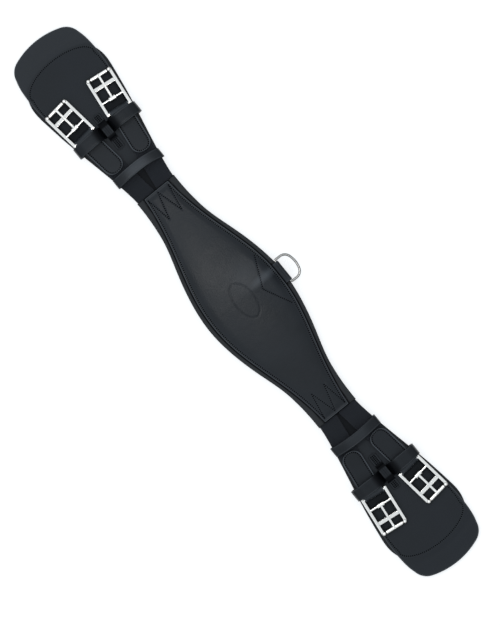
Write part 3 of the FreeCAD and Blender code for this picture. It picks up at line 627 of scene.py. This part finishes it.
def beyond_arc(x, y):
    """How far a point of the flap lies outside its stitched arc, in shares of the arc."""
    along = np.maximum(np.abs(x) - ARC_CENTRE, 0.0) / ARC_LENGTH
    return np.sqrt(along ** 2 + (np.asarray(y) / ARC_HALF) ** 2) - 1.0


def end_drop(x, y):
    """Fall of the flap and lining outside the padded part."""
    outside = np.where(np.abs(x) > ARC_ZONE_START, beyond_arc(x, y) * MM_PER_ARC_SHARE, 0.0)
    return 1.5 * step(outside, 0.0, 14.0) + 0.8 * step(outside, 14.0, 34.0)


def seam_half(x):
    """Half width of the seam line before its arc."""
    return np.minimum(pad_half(x) - SEAM_INSET, ARC_HALF)


def seam_arc():
    """The seam's arc round the near end."""
    angles = np.linspace(math.pi / 2, -math.pi / 2, 60)
    return np.stack([ARC_CENTRE + ARC_LENGTH * np.cos(angles), ARC_HALF * np.sin(angles)], axis=1)


def seam_line(inner):
    """The seam from one side at an inner x, round the near end's arc, to the other side."""
    xs = np.arange(inner, ARC_CENTRE, 3.0)
    side = np.stack([xs, seam_half(xs)], axis=1)
    return np.vstack([side, seam_arc(), (side * np.array([1, -1]))[::-1]])


def ellipse_gap(x, y, half_x, half_y):
    """A point's share of an ellipse, 1 on its line, and about how far it is from that line."""
    along, across = x / half_x, y / half_y
    share = np.hypot(along, across)
    slope = np.hypot(along / half_x, across / half_y) / np.maximum(share, 1e-6)
    return share, np.abs(share - 1.0) / np.maximum(slope, 1e-6)


def seam_gap(x, y):
    """Distance of a point from the seam."""
    side = np.abs(np.abs(y) - seam_half(np.abs(x)))
    _, arc = ellipse_gap(np.maximum(np.abs(x) - ARC_CENTRE, 0.0), np.abs(y), ARC_LENGTH, ARC_HALF)
    return np.where(np.abs(x) > ARC_CENTRE, arc, side)


# ---------------------------------------------------------------- pad pieces

def build_lining():
    """Body-side leather: flat underside with a raised sewn border."""
    loop = node_loop("lining", 0.0, 1.6)

    def top(x, y, inset):
        return LINING_HIGH[2] - 0.05 - end_drop(x, y) * 0.9

    def bottom(x, y, inset):
        return 1.3 * (1 - step(inset, 0.5, 7.5)) + groove(seam_gap(x, y), 0.6, 0.9)

    piece = slab("lining_leather", loop, (LINING_LOW[0] + 45, LINING_HIGH[0] - 45), top, bottom, LINING,
                 radius=1.6, insets=(2.4, 3.2, 5.0, 7.0), rows=6, edge_line=0.0)
    attach(piece, "lining")
    border = np.vstack([seam_line(-ARC_CENTRE), -seam_arc()])
    stitch_row("lining_stitches", [border], lambda x, y: 0.42, lift=0.0)


def build_fillings():
    """Foam, centre padding and web inside the girth."""
    foam_low, foam_high = box_mm("foam_core")
    loop = node_loop("foam_core", foam_low[2], 4.0)
    foam = slab("foam_sheet", loop, (foam_low[0] + 40, foam_high[0] - 40),
                lambda x, y, inset: foam_high[2] - 0.3 - end_drop(x, y), flat_at(foam_low[2]),
                FOAM, radius=0.8)
    low, high = box_mm("centre_padding")
    loop = node_loop("centre_padding", low[2], 4.0)
    padding = slab("centre_padding_foam", loop, (low[0] + 20, high[0] - 20),
                   flat_at(high[2] - 0.7), flat_at(low[2] + 0.1), FOAM, radius=1.2)
    attach(foam, "foam_core")
    attach(padding, "centre_padding")
    low, high = box_mm("reinforcing_web")
    path = resample([(low[0], 0, (low[2] + high[2]) / 2), (high[0], 0, (low[2] + high[2]) / 2)], 8.0)
    web = ribbon("reinforcing_web_band", path, np.tile([0, 0, 1.0], (len(path), 1)), (0, 1, 0),
                 np.full(len(path), high[1]), high[2] - low[2], WEB, radius=0.4)
    attach(web, "reinforcing_web")


def panel_gap(x, y):
    """How far a point lies inside the panel's edge, below zero outside it."""
    return panel_half(np.abs(x)) - np.abs(y)


def backing_top(x, y, inset):
    """The rim falls a little towards its outer edge."""
    return RIM_TOP - 0.7 * (1 - step(inset, 0.0, 6.0))


def backing_shade(x, y, inset):
    """Painted shadow beside the panel's edge, deeper where the dee chape comes out."""
    gap = panel_gap(x, y)
    beside_chape = (1 - step(np.abs(x - (DEE_LOW[0] + DEE_HIGH[0]) / 2), 15.0, 16.5)) * (y > 0)
    return np.maximum(0.95 * step(gap, -2.2, -1.1), 0.9 * beside_chape * step(gap, -3.0, -2.0))


def build_backing():
    """Matte leather whose rim shows round the panel, folded down over the layers' sides."""
    loop = node_loop("centre_backing", BACKING_LOW[2], 1.5)
    end = BACKING_HIGH[0]

    def low_edge(x, y, inset):
        at_end = step(np.abs(x), end - 1.5, end - 0.2)
        return (LINING_HIGH[2] + 0.05) * (1 - at_end) + (RIM_TOP - 1.6) * at_end

    piece = slab("centre_backing_leather", loop, (-end + 20, end - 20), backing_top,
                 flat_at(RIM_TOP - 1.5), MATTE, radius=1.3,
                 insets=(2.2, 3.2, 4.0, 4.6, 5.2, 5.8, 6.4, 8.0), rows=6, low_edge=low_edge, edge_line=0.0,
                 shade=backing_shade)
    attach(piece, "centre_backing")


V_POINT = np.array([1.2, 24.7])
V_ARMS = (np.array([-38.0, 42.6]), np.array([36.0, 42.0]))
RIDGE_X = -7.0
RIDGE_RUN = 34.0
OVAL_CENTRE = (-2.0, -0.8)
OVAL_HALVES = (24.3, 12.6)
FAR = 99.0
W_OUTER_X = PANEL_HIGH[0] - 3.0
W_INNER_X = PANEL_HIGH[0] - 37.5
W_OUTER_Y = (-15.6, 0.0, 15.6)
W_INNER_Y = (-9.5, 9.5)


def w_lines(sign):
    """The two V shapes of stitching at one end of the panel."""
    points = []
    for k, outer in enumerate(W_OUTER_Y):
        points.append((sign * W_OUTER_X, outer))
        if k < len(W_INNER_Y):
            points.append((sign * W_INNER_X, W_INNER_Y[k]))
    return [np.array([points[k], points[k + 1]]) for k in range(len(points) - 1)]


W_LINES = [line for sign in ENDS.values() for line in w_lines(sign)]
V_LINES = [np.array([V_POINT, arm]) for arm in V_ARMS]


def segment_distance(x, y, start, stop):
    """Distance of points from a line segment."""
    start, stop = np.asarray(start, float), np.asarray(stop, float)
    run = stop - start
    share = np.clip(((x - start[0]) * run[0] + (y - start[1]) * run[1]) / (run @ run), 0, 1)
    return np.hypot(x - start[0] - share * run[0], y - start[1] - share * run[1])


def panel_top(x, y, inset):
    """Crowned panel with an edge crease, a stitched channel, W and V seams and an oval mark."""
    x, y, inset = np.asarray(x, float), np.asarray(y, float), np.asarray(inset, float)
    half = panel_half(x)
    wide = step(half, 16.0, 48.0)
    height = PANEL_EDGE_TOP + 0.5 * step(inset, 3.2, 9.0)
    by_dee = (1 - step(np.abs(x - RIDGE_X), 12.0, 55.0)) * (y > 0)
    crown_y = np.where(y > 8.0, 8.0 + (y - 8.0) * (1 - 0.9 * by_dee), y)
    crown = np.clip(1 - (crown_y / np.maximum(half, 1.0)) ** 2, 0.0, 1.0)
    edge_fade = np.where(by_dee > 0, step(inset, 0.5, 12.0) * by_dee + 1 - by_dee, 1.0)
    height += (0.4 + 1.6 * wide) * crown * edge_fade
    height += 1.4 * (1 - step(np.abs(x - RIDGE_X), -40.0, 120.0)) * step(inset, 0.0, 14.0)
    height -= groove(inset - 1.4, 0.1, 0.35) + groove(inset - EDGE_STITCH_INSET, 0.2, 0.9)
    for line in W_LINES:
        height -= groove(segment_distance(x, y, *line), 0.35, 0.9)
    height -= groove(np.minimum.reduce([segment_distance(x, y, *line) for line in V_LINES]), 0.4, 0.9)
    # the dee chape's tail and its filler lift the leather up to the edge
    from_ridge = np.sqrt((x - RIDGE_X) ** 2 + 4.0) - 2.0
    tent = np.clip(1 - from_ridge / RIDGE_RUN, 0.0, 1.0) ** 1.6
    height += 1.4 * tent * step(y, -4.0, 34.0) * step(inset, 0.0, 9.0)
    return height - groove(oval_gap(x, y), 0.32, 0.6)


def oval_gap(x, y):
    """Distance of a point from the plain oval mark, or FAR near its middle."""
    share, gap = ellipse_gap(x - OVAL_CENTRE[0], y - OVAL_CENTRE[1], *OVAL_HALVES)
    return np.where(share > 0.3, gap, FAR)


def panel_shade(x, y, inset):
    """Painted shade in the edge crease and in the oval's groove."""
    dark = groove(inset - 1.5, 0.35, 0.3)
    return np.maximum(dark, groove(oval_gap(x, y), 0.28, 0.5))


def panel_highlight(x, y):
    """Painted highlights: along the ridge, on its open side and beside the stitch lines."""
    ridge_highlight = 0.65 * np.exp(-((x - RIDGE_X + 3.0) / 4.8) ** 2) * step(y, 2.0, 30.0)
    open_side_highlight = 0.22 * np.exp(-((x - RIDGE_X + 19.0) / 18.0) ** 2 - ((y - 16.0) / 18.0) ** 2)
    gap = panel_half(x) - np.abs(y)
    stitch_line_highlight = 0.14 * groove(np.minimum(gap, PANEL_HIGH[0] - np.abs(x)) - EDGE_STITCH_INSET, 1.0, 1.2)
    for line in W_LINES:
        stitch_line_highlight = np.maximum(stitch_line_highlight, 0.12 * groove(segment_distance(x, y, *line), 1.0, 1.2))
    return np.maximum(np.maximum(ridge_highlight, open_side_highlight) * (x < RIDGE_X + 4.0), stitch_line_highlight)


def panel_surface(x, y):
    """Panel height at one point."""
    half = float(panel_half(x))
    inset = max(0.0, min(half - abs(y), PANEL_HIGH[0] - abs(x)))
    return float(panel_top(x, y, inset))


def inset_side(edge, x0, x1, inset, sign, spacing=2.0):
    """A line beside one edge, moved in square to it."""
    xs = np.arange(x0, x1 + spacing / 2, spacing)
    slope = (edge(xs + 0.5) - edge(xs - 0.5))
    return np.stack([xs, sign * (edge(xs) - inset * np.sqrt(1 + slope ** 2))], axis=1)


def build_panel():
    """Smooth leather panel with its rows of stitches."""
    loop = node_loop("centre_panel", PANEL_LOW[2], 1.2)
    end = PANEL_HIGH[0]
    piece = slab("centre_panel_leather", loop, (-end + 15, end - 15), panel_top,
                 flat_at(RIM_TOP + 0.05), SMOOTH, radius=0.7,
                 insets=(0.85, 1.0, 1.2, 1.4, 1.6, 1.8, 2.0, 2.2, 2.5, 2.7, 3.0, 3.4, 4.2, 5.0), rows=44,
                 shade=panel_shade, pale=panel_highlight, edge_line=0.65)
    attach(piece, "centre_panel")
    lines = [inset_side(panel_half, -end + 4, end - 4, EDGE_STITCH_INSET, sign) for sign in (1, -1)]
    stitch_row("centre_panel_stitches", lines + W_LINES + V_LINES, panel_surface)


def flap_top(x, y, inset):
    """Flap leather: level over the padding, lower round its end, with a creased seam."""
    sunk = groove(seam_gap(x, y), 0.4, 0.9) + groove(inset - 1.5, 0.12, 0.4)
    return FLAP_HIGH[2] - 0.05 - end_drop(x, y) - sunk


BUCKLE_BARS = (0.0, 18.5, 32.8)
RAIL_INNER = 13.8
ELASTIC_SHADE_END = (195.0, 225.0)


def under_buckle(x, y):
    """Painted shade on the leather under a buckle: lighter in the windows, darker beside bars and rails."""
    pivot, outward, aside = STRAPS["near_front"]
    away_x, away_y = np.abs(x) - pivot[0], np.abs(y) - pivot[1]
    along = away_x * outward[0] + away_y * outward[1]
    across = np.abs(away_x * aside[0] + away_y * aside[1])
    inside = step(along, -16.0, -12.0) * (1 - step(along, 29.0, 33.0)) * (1 - step(across, 13.5, 16.5))
    gap = np.minimum.reduce([np.abs(along - bar) for bar in BUCKLE_BARS] + [np.abs(RAIL_INNER - across)])
    beside = 1 - step(gap, 2.0, 5.5)
    hollow = 1 - step(along, -4.0, -1.0)
    return inside * np.maximum(0.3 + 0.2 * beside, 0.6 * hollow)


def flap_shade(x, y, inset):
    """Painted shade under the buckles and, towards the girth's middle, under the elastics."""
    return np.maximum(under_buckle(x, y), 0.7 * (1 - step(np.abs(x), *ELASTIC_SHADE_END)))


def flap_pale_and_painted_light(x, y):
    """Duller, paler leather outside the stitched arc, painted much paler at the off end (x < 0) as painted
    light, and a painted highlight beside the seam.
    """
    amount = np.where(np.asarray(x) < 0, 0.24, 0.05)
    outside = amount * step(beyond_arc(x, y), 0.03, 0.2) * (np.abs(x) > ARC_ZONE_START)
    return np.maximum(outside, 0.1 * groove(seam_gap(x, y), 1.0, 1.2))


def build_flap(end_name, sign):
    """The rounded leather under the buckles of one end."""
    node = end_name + "_flap_leather"
    loop = node_loop(node, FLAP_LOW[2], 1.5)
    low, high = box_mm(node)
    at_inner, at_outer = 30.0, 48.0
    if sign > 0:
        spine = (low[0] + at_inner, high[0] - at_outer)
    else:
        spine = (low[0] + at_outer, high[0] - at_inner)
    piece = slab(end_name + "_flap", loop, spine, flap_top,
                 lambda x, y, inset: FLAP_LOW[2] - end_drop(x, y), FLAP, radius=0.8, rows=44,
                 insets=(1.0, 1.3, 1.6, 2.0, 2.5, 3.0, 3.5, 4.0), shade=flap_shade, pale=flap_pale_and_painted_light)
    attach(piece, node)
    seam = seam_line(FLAP_LOW[0] + 60) * np.array([sign, 1.0])
    stitch_row(end_name + "_flap_stitches", [seam], lambda x, y: float(flap_top(x, y, 9.0)))


# ---------------------------------------------------------------- keepers and tabs

# a keeper's line from the middle of the girth to its foot, as shares of its node's half width and height
WIDE_SHAPE = [(0.0, 0.255), (0.128, 0.255), (0.16, 0.33), (0.178, 0.52), (0.208, 0.73), (0.28, 0.875),
              (0.405, 0.925), (0.553, 0.943), (0.70, 0.925), (0.84, 0.88), (0.935, 0.77), (0.972, 0.54),
              (0.977, 0.28), (0.965, 0.13), (0.93, 0.05), (0.86, 0.04)]
NARROW_SHAPE = [(0.0, 0.945), (0.27, 0.935), (0.54, 0.905), (0.80, 0.84), (0.925, 0.74), (0.968, 0.56),
                (0.975, 0.33), (0.968, 0.15), (0.93, 0.05), (0.84, 0.04)]
WIDE_BOW = {"near": (-0.9, 0.0, -1.6), "off": (-1.2, 0.4, -1.0)}
# how much paler each narrow keeper's middle is painted: a painted highlight
NARROW_HIGHLIGHT = {"near": 0.2, "off": 0.6}
NARROW_BOW = {"near": (2.0, 4.0, 1.0), "off": (-2.1, 2.7, 1.1)}


def wide_keeper_shade(y):
    """Painted shade beside the tab and down at the feet, none on the two crowns."""
    return np.maximum(0.9 * (1 - step(y, 13.0, 21.0)), 0.25 * step(y, 33.0, 39.0))


def narrow_keeper_shade(y):
    """Painted shade down at the feet."""
    return 0.15 * step(y, 10.0, 20.0)


def build_keeper(node, shape, bow, half_widths, thickness, shade, paleness=0.0):
    """A leather band across the girth, with creased and paler cut edges.

    bow is how far it is set outwards at its front end, middle and rear end, half_widths is half its width
    in the middle and at its feet, shade gives its painted shade, and the last argument is how much paler
    its middle is painted, a painted highlight."""
    low, high = box_mm(node)
    half = [(y * high[1], low[2] + z * (high[2] - low[2])) for y, z in shape]
    line = [(y, z) for y, z in reversed(half)] + [(-y, z) for y, z in half[1:]]
    curve = smooth_curve(line, 0.9)
    middle = (low[0] + high[0]) / 2
    sign = 1 if middle > 0 else -1
    share = curve[:, 0] / high[1]
    ends = np.where(share > 0, bow[0], bow[2])
    xs = middle + sign * (bow[1] + (ends - bow[1]) * share ** 2)
    path = np.column_stack([xs, curve])
    normals = path_normals(path, (1, 0, 0), len(path) // 2)
    width = half_widths[0] + (half_widths[1] - half_widths[0]) * step(np.abs(share), 0.6, 1.0)
    # the band's paler middle is a painted highlight, and shade paints shade along it
    piece = ribbon(node + "_band", path, normals, (1, 0, 0), width, thickness, SMOOTH,
                   radius=0.6, creases=((1.7, 0.12, 0.35, 0.2),), columns=6, edge_line=0.4,
                   shade=shade(np.abs(path[:, 1])), pale=paleness * (1 - step(np.abs(path[:, 1]), 4.0, 26.0)))
    attach(piece, node)


CREST_X = 263.6


def build_tab(end_name, sign):
    """The tab sewn over the middle of the wide keeper."""
    node = end_name + "_centre_tab"
    low, high = box_mm(node)
    keeper_low, keeper_high = box_mm(end_name + "_wide_keeper")
    leather_half = 1.0
    floor, crest = low[2] + leather_half, high[2] - leather_half + 0.3
    inner, outer = (low[0], high[0]) if sign > 0 else (high[0], low[0])
    near, far = (keeper_low[0], keeper_high[0]) if sign > 0 else (keeper_high[0], keeper_low[0])
    line = [(inner, floor), (near - sign * 6, floor), (near - sign * 3.6, floor), (near - sign * 0.6, crest),
            ((near + far) / 2, crest + 0.25), (far - sign * 0.2, crest), (far + sign * 3.4, floor),
            (far + sign * 6, floor), (outer, floor)]
    curve = smooth_curve(line, 0.8)
    path = np.column_stack([curve[:, 0], np.zeros(len(curve)), curve[:, 1]])
    normals = path_normals(path, (0, 1, 0), len(path) // 2)
    end_run, end_power = 3.5, 3.0
    widths = rounded_ends(run_along(path), high[1], end_run, end_power)
    # painted shade on the slopes beside the crest; the creases below paint shade into the stitch rows'
    # grooves
    from_crest = np.abs(path[:, 0] - sign * CREST_X)
    shade = 0.92 * step(from_crest, 4.6, 6.6) * (1 - step(from_crest, 12.0, 14.0))
    piece = ribbon(node + "_strap", path, normals, (0, 1, 0), widths, 2 * leather_half, FLAP, columns=6,
                   creases=((2.6, 0.12, 0.6, 0.5), (5.0, 0.12, 0.6, 0.5)), edge_line=0.0, shade=shade)
    attach(piece, node)
    lines = []
    for start, stop in ((inner + sign * 1.5, near - sign * 6), (far + sign * 4.5, outer - sign * 1.5)):
        lines += [np.array([(start, y), (stop, y)]) for y in (-2.4, 0.0, 2.4)]
    stitch_row(node + "_stitches", lines, lambda x, y: floor + leather_half, pitch=2.2)


# ---------------------------------------------------------------- buckle straps

def project(name, node):
    """A node's extent along the strap, measured from the prong's pivot."""
    pivot, outward, _ = strap_frame(name)
    points = np.array([vertex.co for vertex in frame["nodes"][node].data.vertices]) / MM
    along = (points - pivot) @ outward
    return along.min(), along.max()


CHAPE_HALF = 12.9
CHAPE_END_RUN = 12.5
CHAPE_END_POWER = 2.3
CHAPE_STITCH_INSET = 2.6
FOLD_CREST = 0.455


def build_chape(name):
    """Folded leather between elastic and buckle, with a rounded end, crease and stitches."""
    pivot, outward, aside = strap_frame(name)
    node = name + "_chape"
    low, high = box_mm(node)
    start, stop = project(name, node)
    bar_z = pivot[2]
    fold_leather, ply, under_ply = 1.6, 2.2, 1.1
    fold = (high[2] - bar_z) - fold_leather / 2
    bar = stop - fold - fold_leather / 2
    top = high[2] - 1.75 - ply / 2
    base = low[2] + 0.15 + under_ply / 2
    line = [(start, top), (start + 12, top), (bar - 17, top), (bar - 10, top + 0.5), (bar - 3, bar_z + fold)]
    line += [(bar + fold * math.cos(a), bar_z + fold * math.sin(a))
             for a in np.linspace(math.pi / 2, -math.pi / 2, 9)]
    line += [(bar - 3, bar_z - fold), (bar - 12, base), (bar - 20, base), (start + 12, base), (start, base)]
    curve = smooth_curve(line, 0.8)
    path = pivot * np.array([1, 1, 0]) + curve[:, :1] * outward + curve[:, 1:] * np.array([0, 0, 1.0])
    normals = path_normals(path, aside, 5)
    run = run_along(path)
    widths = rounded_ends(run, CHAPE_HALF, CHAPE_END_RUN, CHAPE_END_POWER)
    share = run / run[-1]
    thick = ply + (fold_leather - ply) * step(share, 0.40, 0.46)
    thick += (under_ply - fold_leather) * step(share, 0.54, 0.60)
    # pale paints a highlight along the fold's crest
    piece = ribbon(name + "_chape_leather", path, normals, aside, widths, thick, STRAP,
                   radius=0.55, creases=((CHAPE_STITCH_INSET, 0.15, 0.8, 0.0),), pillow=0.12,
                   pale=0.45 * np.exp(-((share - FOLD_CREST) / 0.018) ** 2))
    attach(piece, node, name + "_strap")
    outer_half = CHAPE_HALF - CHAPE_STITCH_INSET
    outer_run = CHAPE_END_RUN - CHAPE_STITCH_INSET * 0.6
    power = 2 / CHAPE_END_POWER
    quarter = [(start + CHAPE_END_RUN - outer_run * math.cos(a) ** power, outer_half * math.sin(a) ** power)
               for a in np.linspace(0.0, math.pi / 2, 14)]
    upper = quarter + [(bar - 14, outer_half)]
    lower = [(x, -y) for x, y in reversed(upper)]
    line = np.array(lower + upper[1:])
    ground = pivot[:2] + line[:, :1] * outward[:2] + line[:, 1:] * aside[:2]
    surface = top + ply / 2 - 0.1
    stitch_row(name + "_chape_stitches", [ground], lambda x, y: surface, name + "_strap")


ELASTIC_HALF = 12.45
ELASTIC_CORDS = 24
PAD_HELD_RUN = 36.5


def build_elastic(name):
    """Corded elastic web that stretches between the pad and the buckle strap."""
    node = name + "_elastic"
    low, high = box_mm(node)
    pivot, outward, aside = strap_frame(name)
    start, stop = project(name, node)
    sign = np.sign(outward[0])
    side = np.sign(outward[1])
    bend = start + PAD_HELD_RUN
    span = np.arange(start, stop, 1.6)
    columns = np.linspace(-1, 1, ELASTIC_CORDS * 4 + 1)
    points, uv = [], []
    thickness = high[2] - low[2]
    for s in span:
        kink = max(bend - s, 0.0)
        shift = kink * math.tan(math.asin(abs(outward[1])))
        centre = pivot + outward * s + aside * shift * sign * side
        for face in (1, -1):
            for c in columns[::face]:
                edge = rounding((1 - abs(c)) * ELASTIC_HALF, 0.7)
                cord = 0.16 * math.cos(c * math.pi * ELASTIC_CORDS) if face > 0 else 0.0
                z = (low[2] + high[2]) / 2 + face * (thickness / 2 - 0.15 - edge * 0.9) + cord
                place = centre + aside * c * ELASTIC_HALF
                points.append((place[0], place[1], z))
                uv.append((s, c * ELASTIC_HALF))
    faces = tube_faces(2 * len(columns), len(span))
    piece = finish_mesh(name + "_elastic_web", points, faces, ELASTIC, uv=uv)
    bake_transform(piece)
    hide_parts(node)


def build_metal():
    """Give the frame's metal pieces their nickel."""
    for node, item in frame["nodes"].items():
        if node == "dee_ring" or node.endswith(("_buckle_frame", "_roller", "_prong")):
            item.data.materials.clear()
            item.data.materials.append(SHADED_RING_NICKEL if node == "dee_ring" else NICKEL)


def build_dee_chape():
    """Leather loop that holds the dee ring."""
    low, high = box_mm("dee_chape")
    ring_pivot = np.array(JOINTS["dee_ring_swing"]["pos_m"]) / MM
    leather_thick = 1.4
    fold = high[1] - ring_pivot[1] - leather_thick / 2
    tail_z = low[2] + leather_thick / 2
    line = [(low[1], tail_z), (ring_pivot[1] - 8, tail_z), (ring_pivot[1] - 4, tail_z + 0.1)]
    line += [(ring_pivot[1] + fold * math.cos(a), ring_pivot[2] + fold * math.sin(a))
             for a in np.linspace(-math.pi * 0.5, math.pi * 0.75, 14)]
    line += [(ring_pivot[1] - 4.6, ring_pivot[2] + 0.6), (ring_pivot[1] - 6.5, tail_z + 1.6)]
    curve = smooth_curve(line, 0.5)
    path = np.column_stack([np.full(len(curve), ring_pivot[0]), curve])
    middle = len(path) // 2
    normals = path_normals(path, (1, 0, 0), middle, path[middle] - ring_pivot)
    # the loop is painted in shadow from where it goes under the panel's edge
    panel_shadow_edge = panel_half(ring_pivot[0]) + 0.8
    piece = ribbon("dee_chape_loop", path, normals, (1, 0, 0), np.full(len(path), (high[0] - low[0]) / 2),
                   leather_thick, STRAP, radius=0.4, columns=6, edge_line=0.4,
                   shade=0.97 * (1 - step(path[:, 1], panel_shadow_edge, panel_shadow_edge + 1.0)))
    attach(piece, "dee_chape")


# ---------------------------------------------------------------- stage

def build_stage():
    """Pale floor, soft light and the camera above the girth."""
    scene = bpy.context.scene
    mesh = bpy.data.meshes.new("floor")
    half = 6.0
    corners = [(-half, -half, 0), (half, -half, 0), (half, half, 0), (-half, half, 0)]
    mesh.from_pydata(corners, [], [(0, 1, 2, 3)])
    floor = bpy.data.objects.new("floor", mesh)
    floor.location.z = -0.0005
    material, tree, shader = new_material("pale_floor")
    shader.inputs["Base Color"].default_value = (0.42, 0.42, 0.42, 1.0)
    shader.inputs["Roughness"].default_value = 0.9
    shader.inputs["Specular IOR Level"].default_value = 0.0
    shader.inputs["Emission Color"].default_value = (1.0, 1.0, 1.0, 1.0)
    shader.inputs["Emission Strength"].default_value = 0.68
    mesh.materials.append(material)
    scene.collection.objects.link(floor)

    world = bpy.data.worlds.new("studio")
    world.use_nodes = True
    tree = world.node_tree
    background = tree.nodes["Background"]
    direction = tree.nodes.new("ShaderNodeTexCoord").outputs["Generated"]
    parts = tree.nodes.new("ShaderNodeSeparateXYZ")
    tree.links.new(direction, parts.inputs["Vector"])
    glow = ramp(tree, parts.outputs["Z"], 0.1, 0.75, 0.25, 1.33)
    zenith = ramp(tree, parts.outputs["Z"], 0.93, 0.99, 1.0, 0.7)
    # brighter towards the left and lower side of the picture
    lean = combine(tree, "ADD", combine(tree, "MULTIPLY", parts.outputs["X"], -0.63),
                   combine(tree, "MULTIPLY", parts.outputs["Y"], -0.776))
    lean = ramp(tree, lean, -0.7, 0.7, 0.75, 1.1)
    strength = combine(tree, "MULTIPLY", combine(tree, "MULTIPLY", glow, zenith), lean)
    tree.links.new(strength, background.inputs["Strength"])
    background.inputs["Color"].default_value = (0.83, 0.92, 1.0, 1.0)
    scene.world = world

    key = bpy.data.lights.new("key", "AREA")
    key.size = 0.15
    key.energy = 0.75
    lamp = bpy.data.objects.new("key", key)
    lamp.location = (-0.10, -0.03, 0.8)
    lamp.rotation_euler = (Vector((0, 0, 0)) - lamp.location).to_track_quat("-Z", "Y").to_euler()
    scene.collection.objects.link(lamp)

    camera_data = bpy.data.cameras.new("camera")
    camera = bpy.data.objects.new("camera", camera_data)
    camera_height, focus_height, frame_height, sensor = 3.0, 0.008, 0.750, 24.0
    camera_data.sensor_fit = "VERTICAL"
    camera_data.sensor_height = sensor
    camera_data.lens = sensor * (camera_height - focus_height) / frame_height
    roll = math.radians(50.923)
    # the picture's right and up, in the girth's own axes
    right = Vector((math.cos(roll), math.sin(roll), 0.0))
    up = Vector((-math.sin(roll), math.cos(roll), 0.0))
    girth_from_centre = right * (-0.0042) + up * 0.0132
    location = -girth_from_centre
    camera.matrix_world = Matrix((
        (right.x, up.x, 0.0, location.x),
        (right.y, up.y, 0.0, location.y),
        (0.0, 0.0, 1.0, camera_height),
        (0.0, 0.0, 0.0, 1.0)))
    scene.collection.objects.link(camera)
    scene.camera = camera
    scene.view_settings.view_transform = "Standard"


build_lining()
build_fillings()
build_backing()
build_panel()
build_dee_chape()
for end_name, end_sign in ENDS.items():
    build_flap(end_name, end_sign)
    build_keeper(end_name + "_wide_keeper", WIDE_SHAPE, WIDE_BOW[end_name], (8.1, 7.3), 2.2,
                 wide_keeper_shade)
    build_keeper(end_name + "_narrow_keeper", NARROW_SHAPE, NARROW_BOW[end_name], (6.3, 6.3), 1.8,
                 narrow_keeper_shade, NARROW_HIGHLIGHT[end_name])
    build_tab(end_name, end_sign)
    for side_name in SIDES:
        build_chape(end_name + "_" + side_name)
        build_elastic(end_name + "_" + side_name)
build_metal()
build_stage()
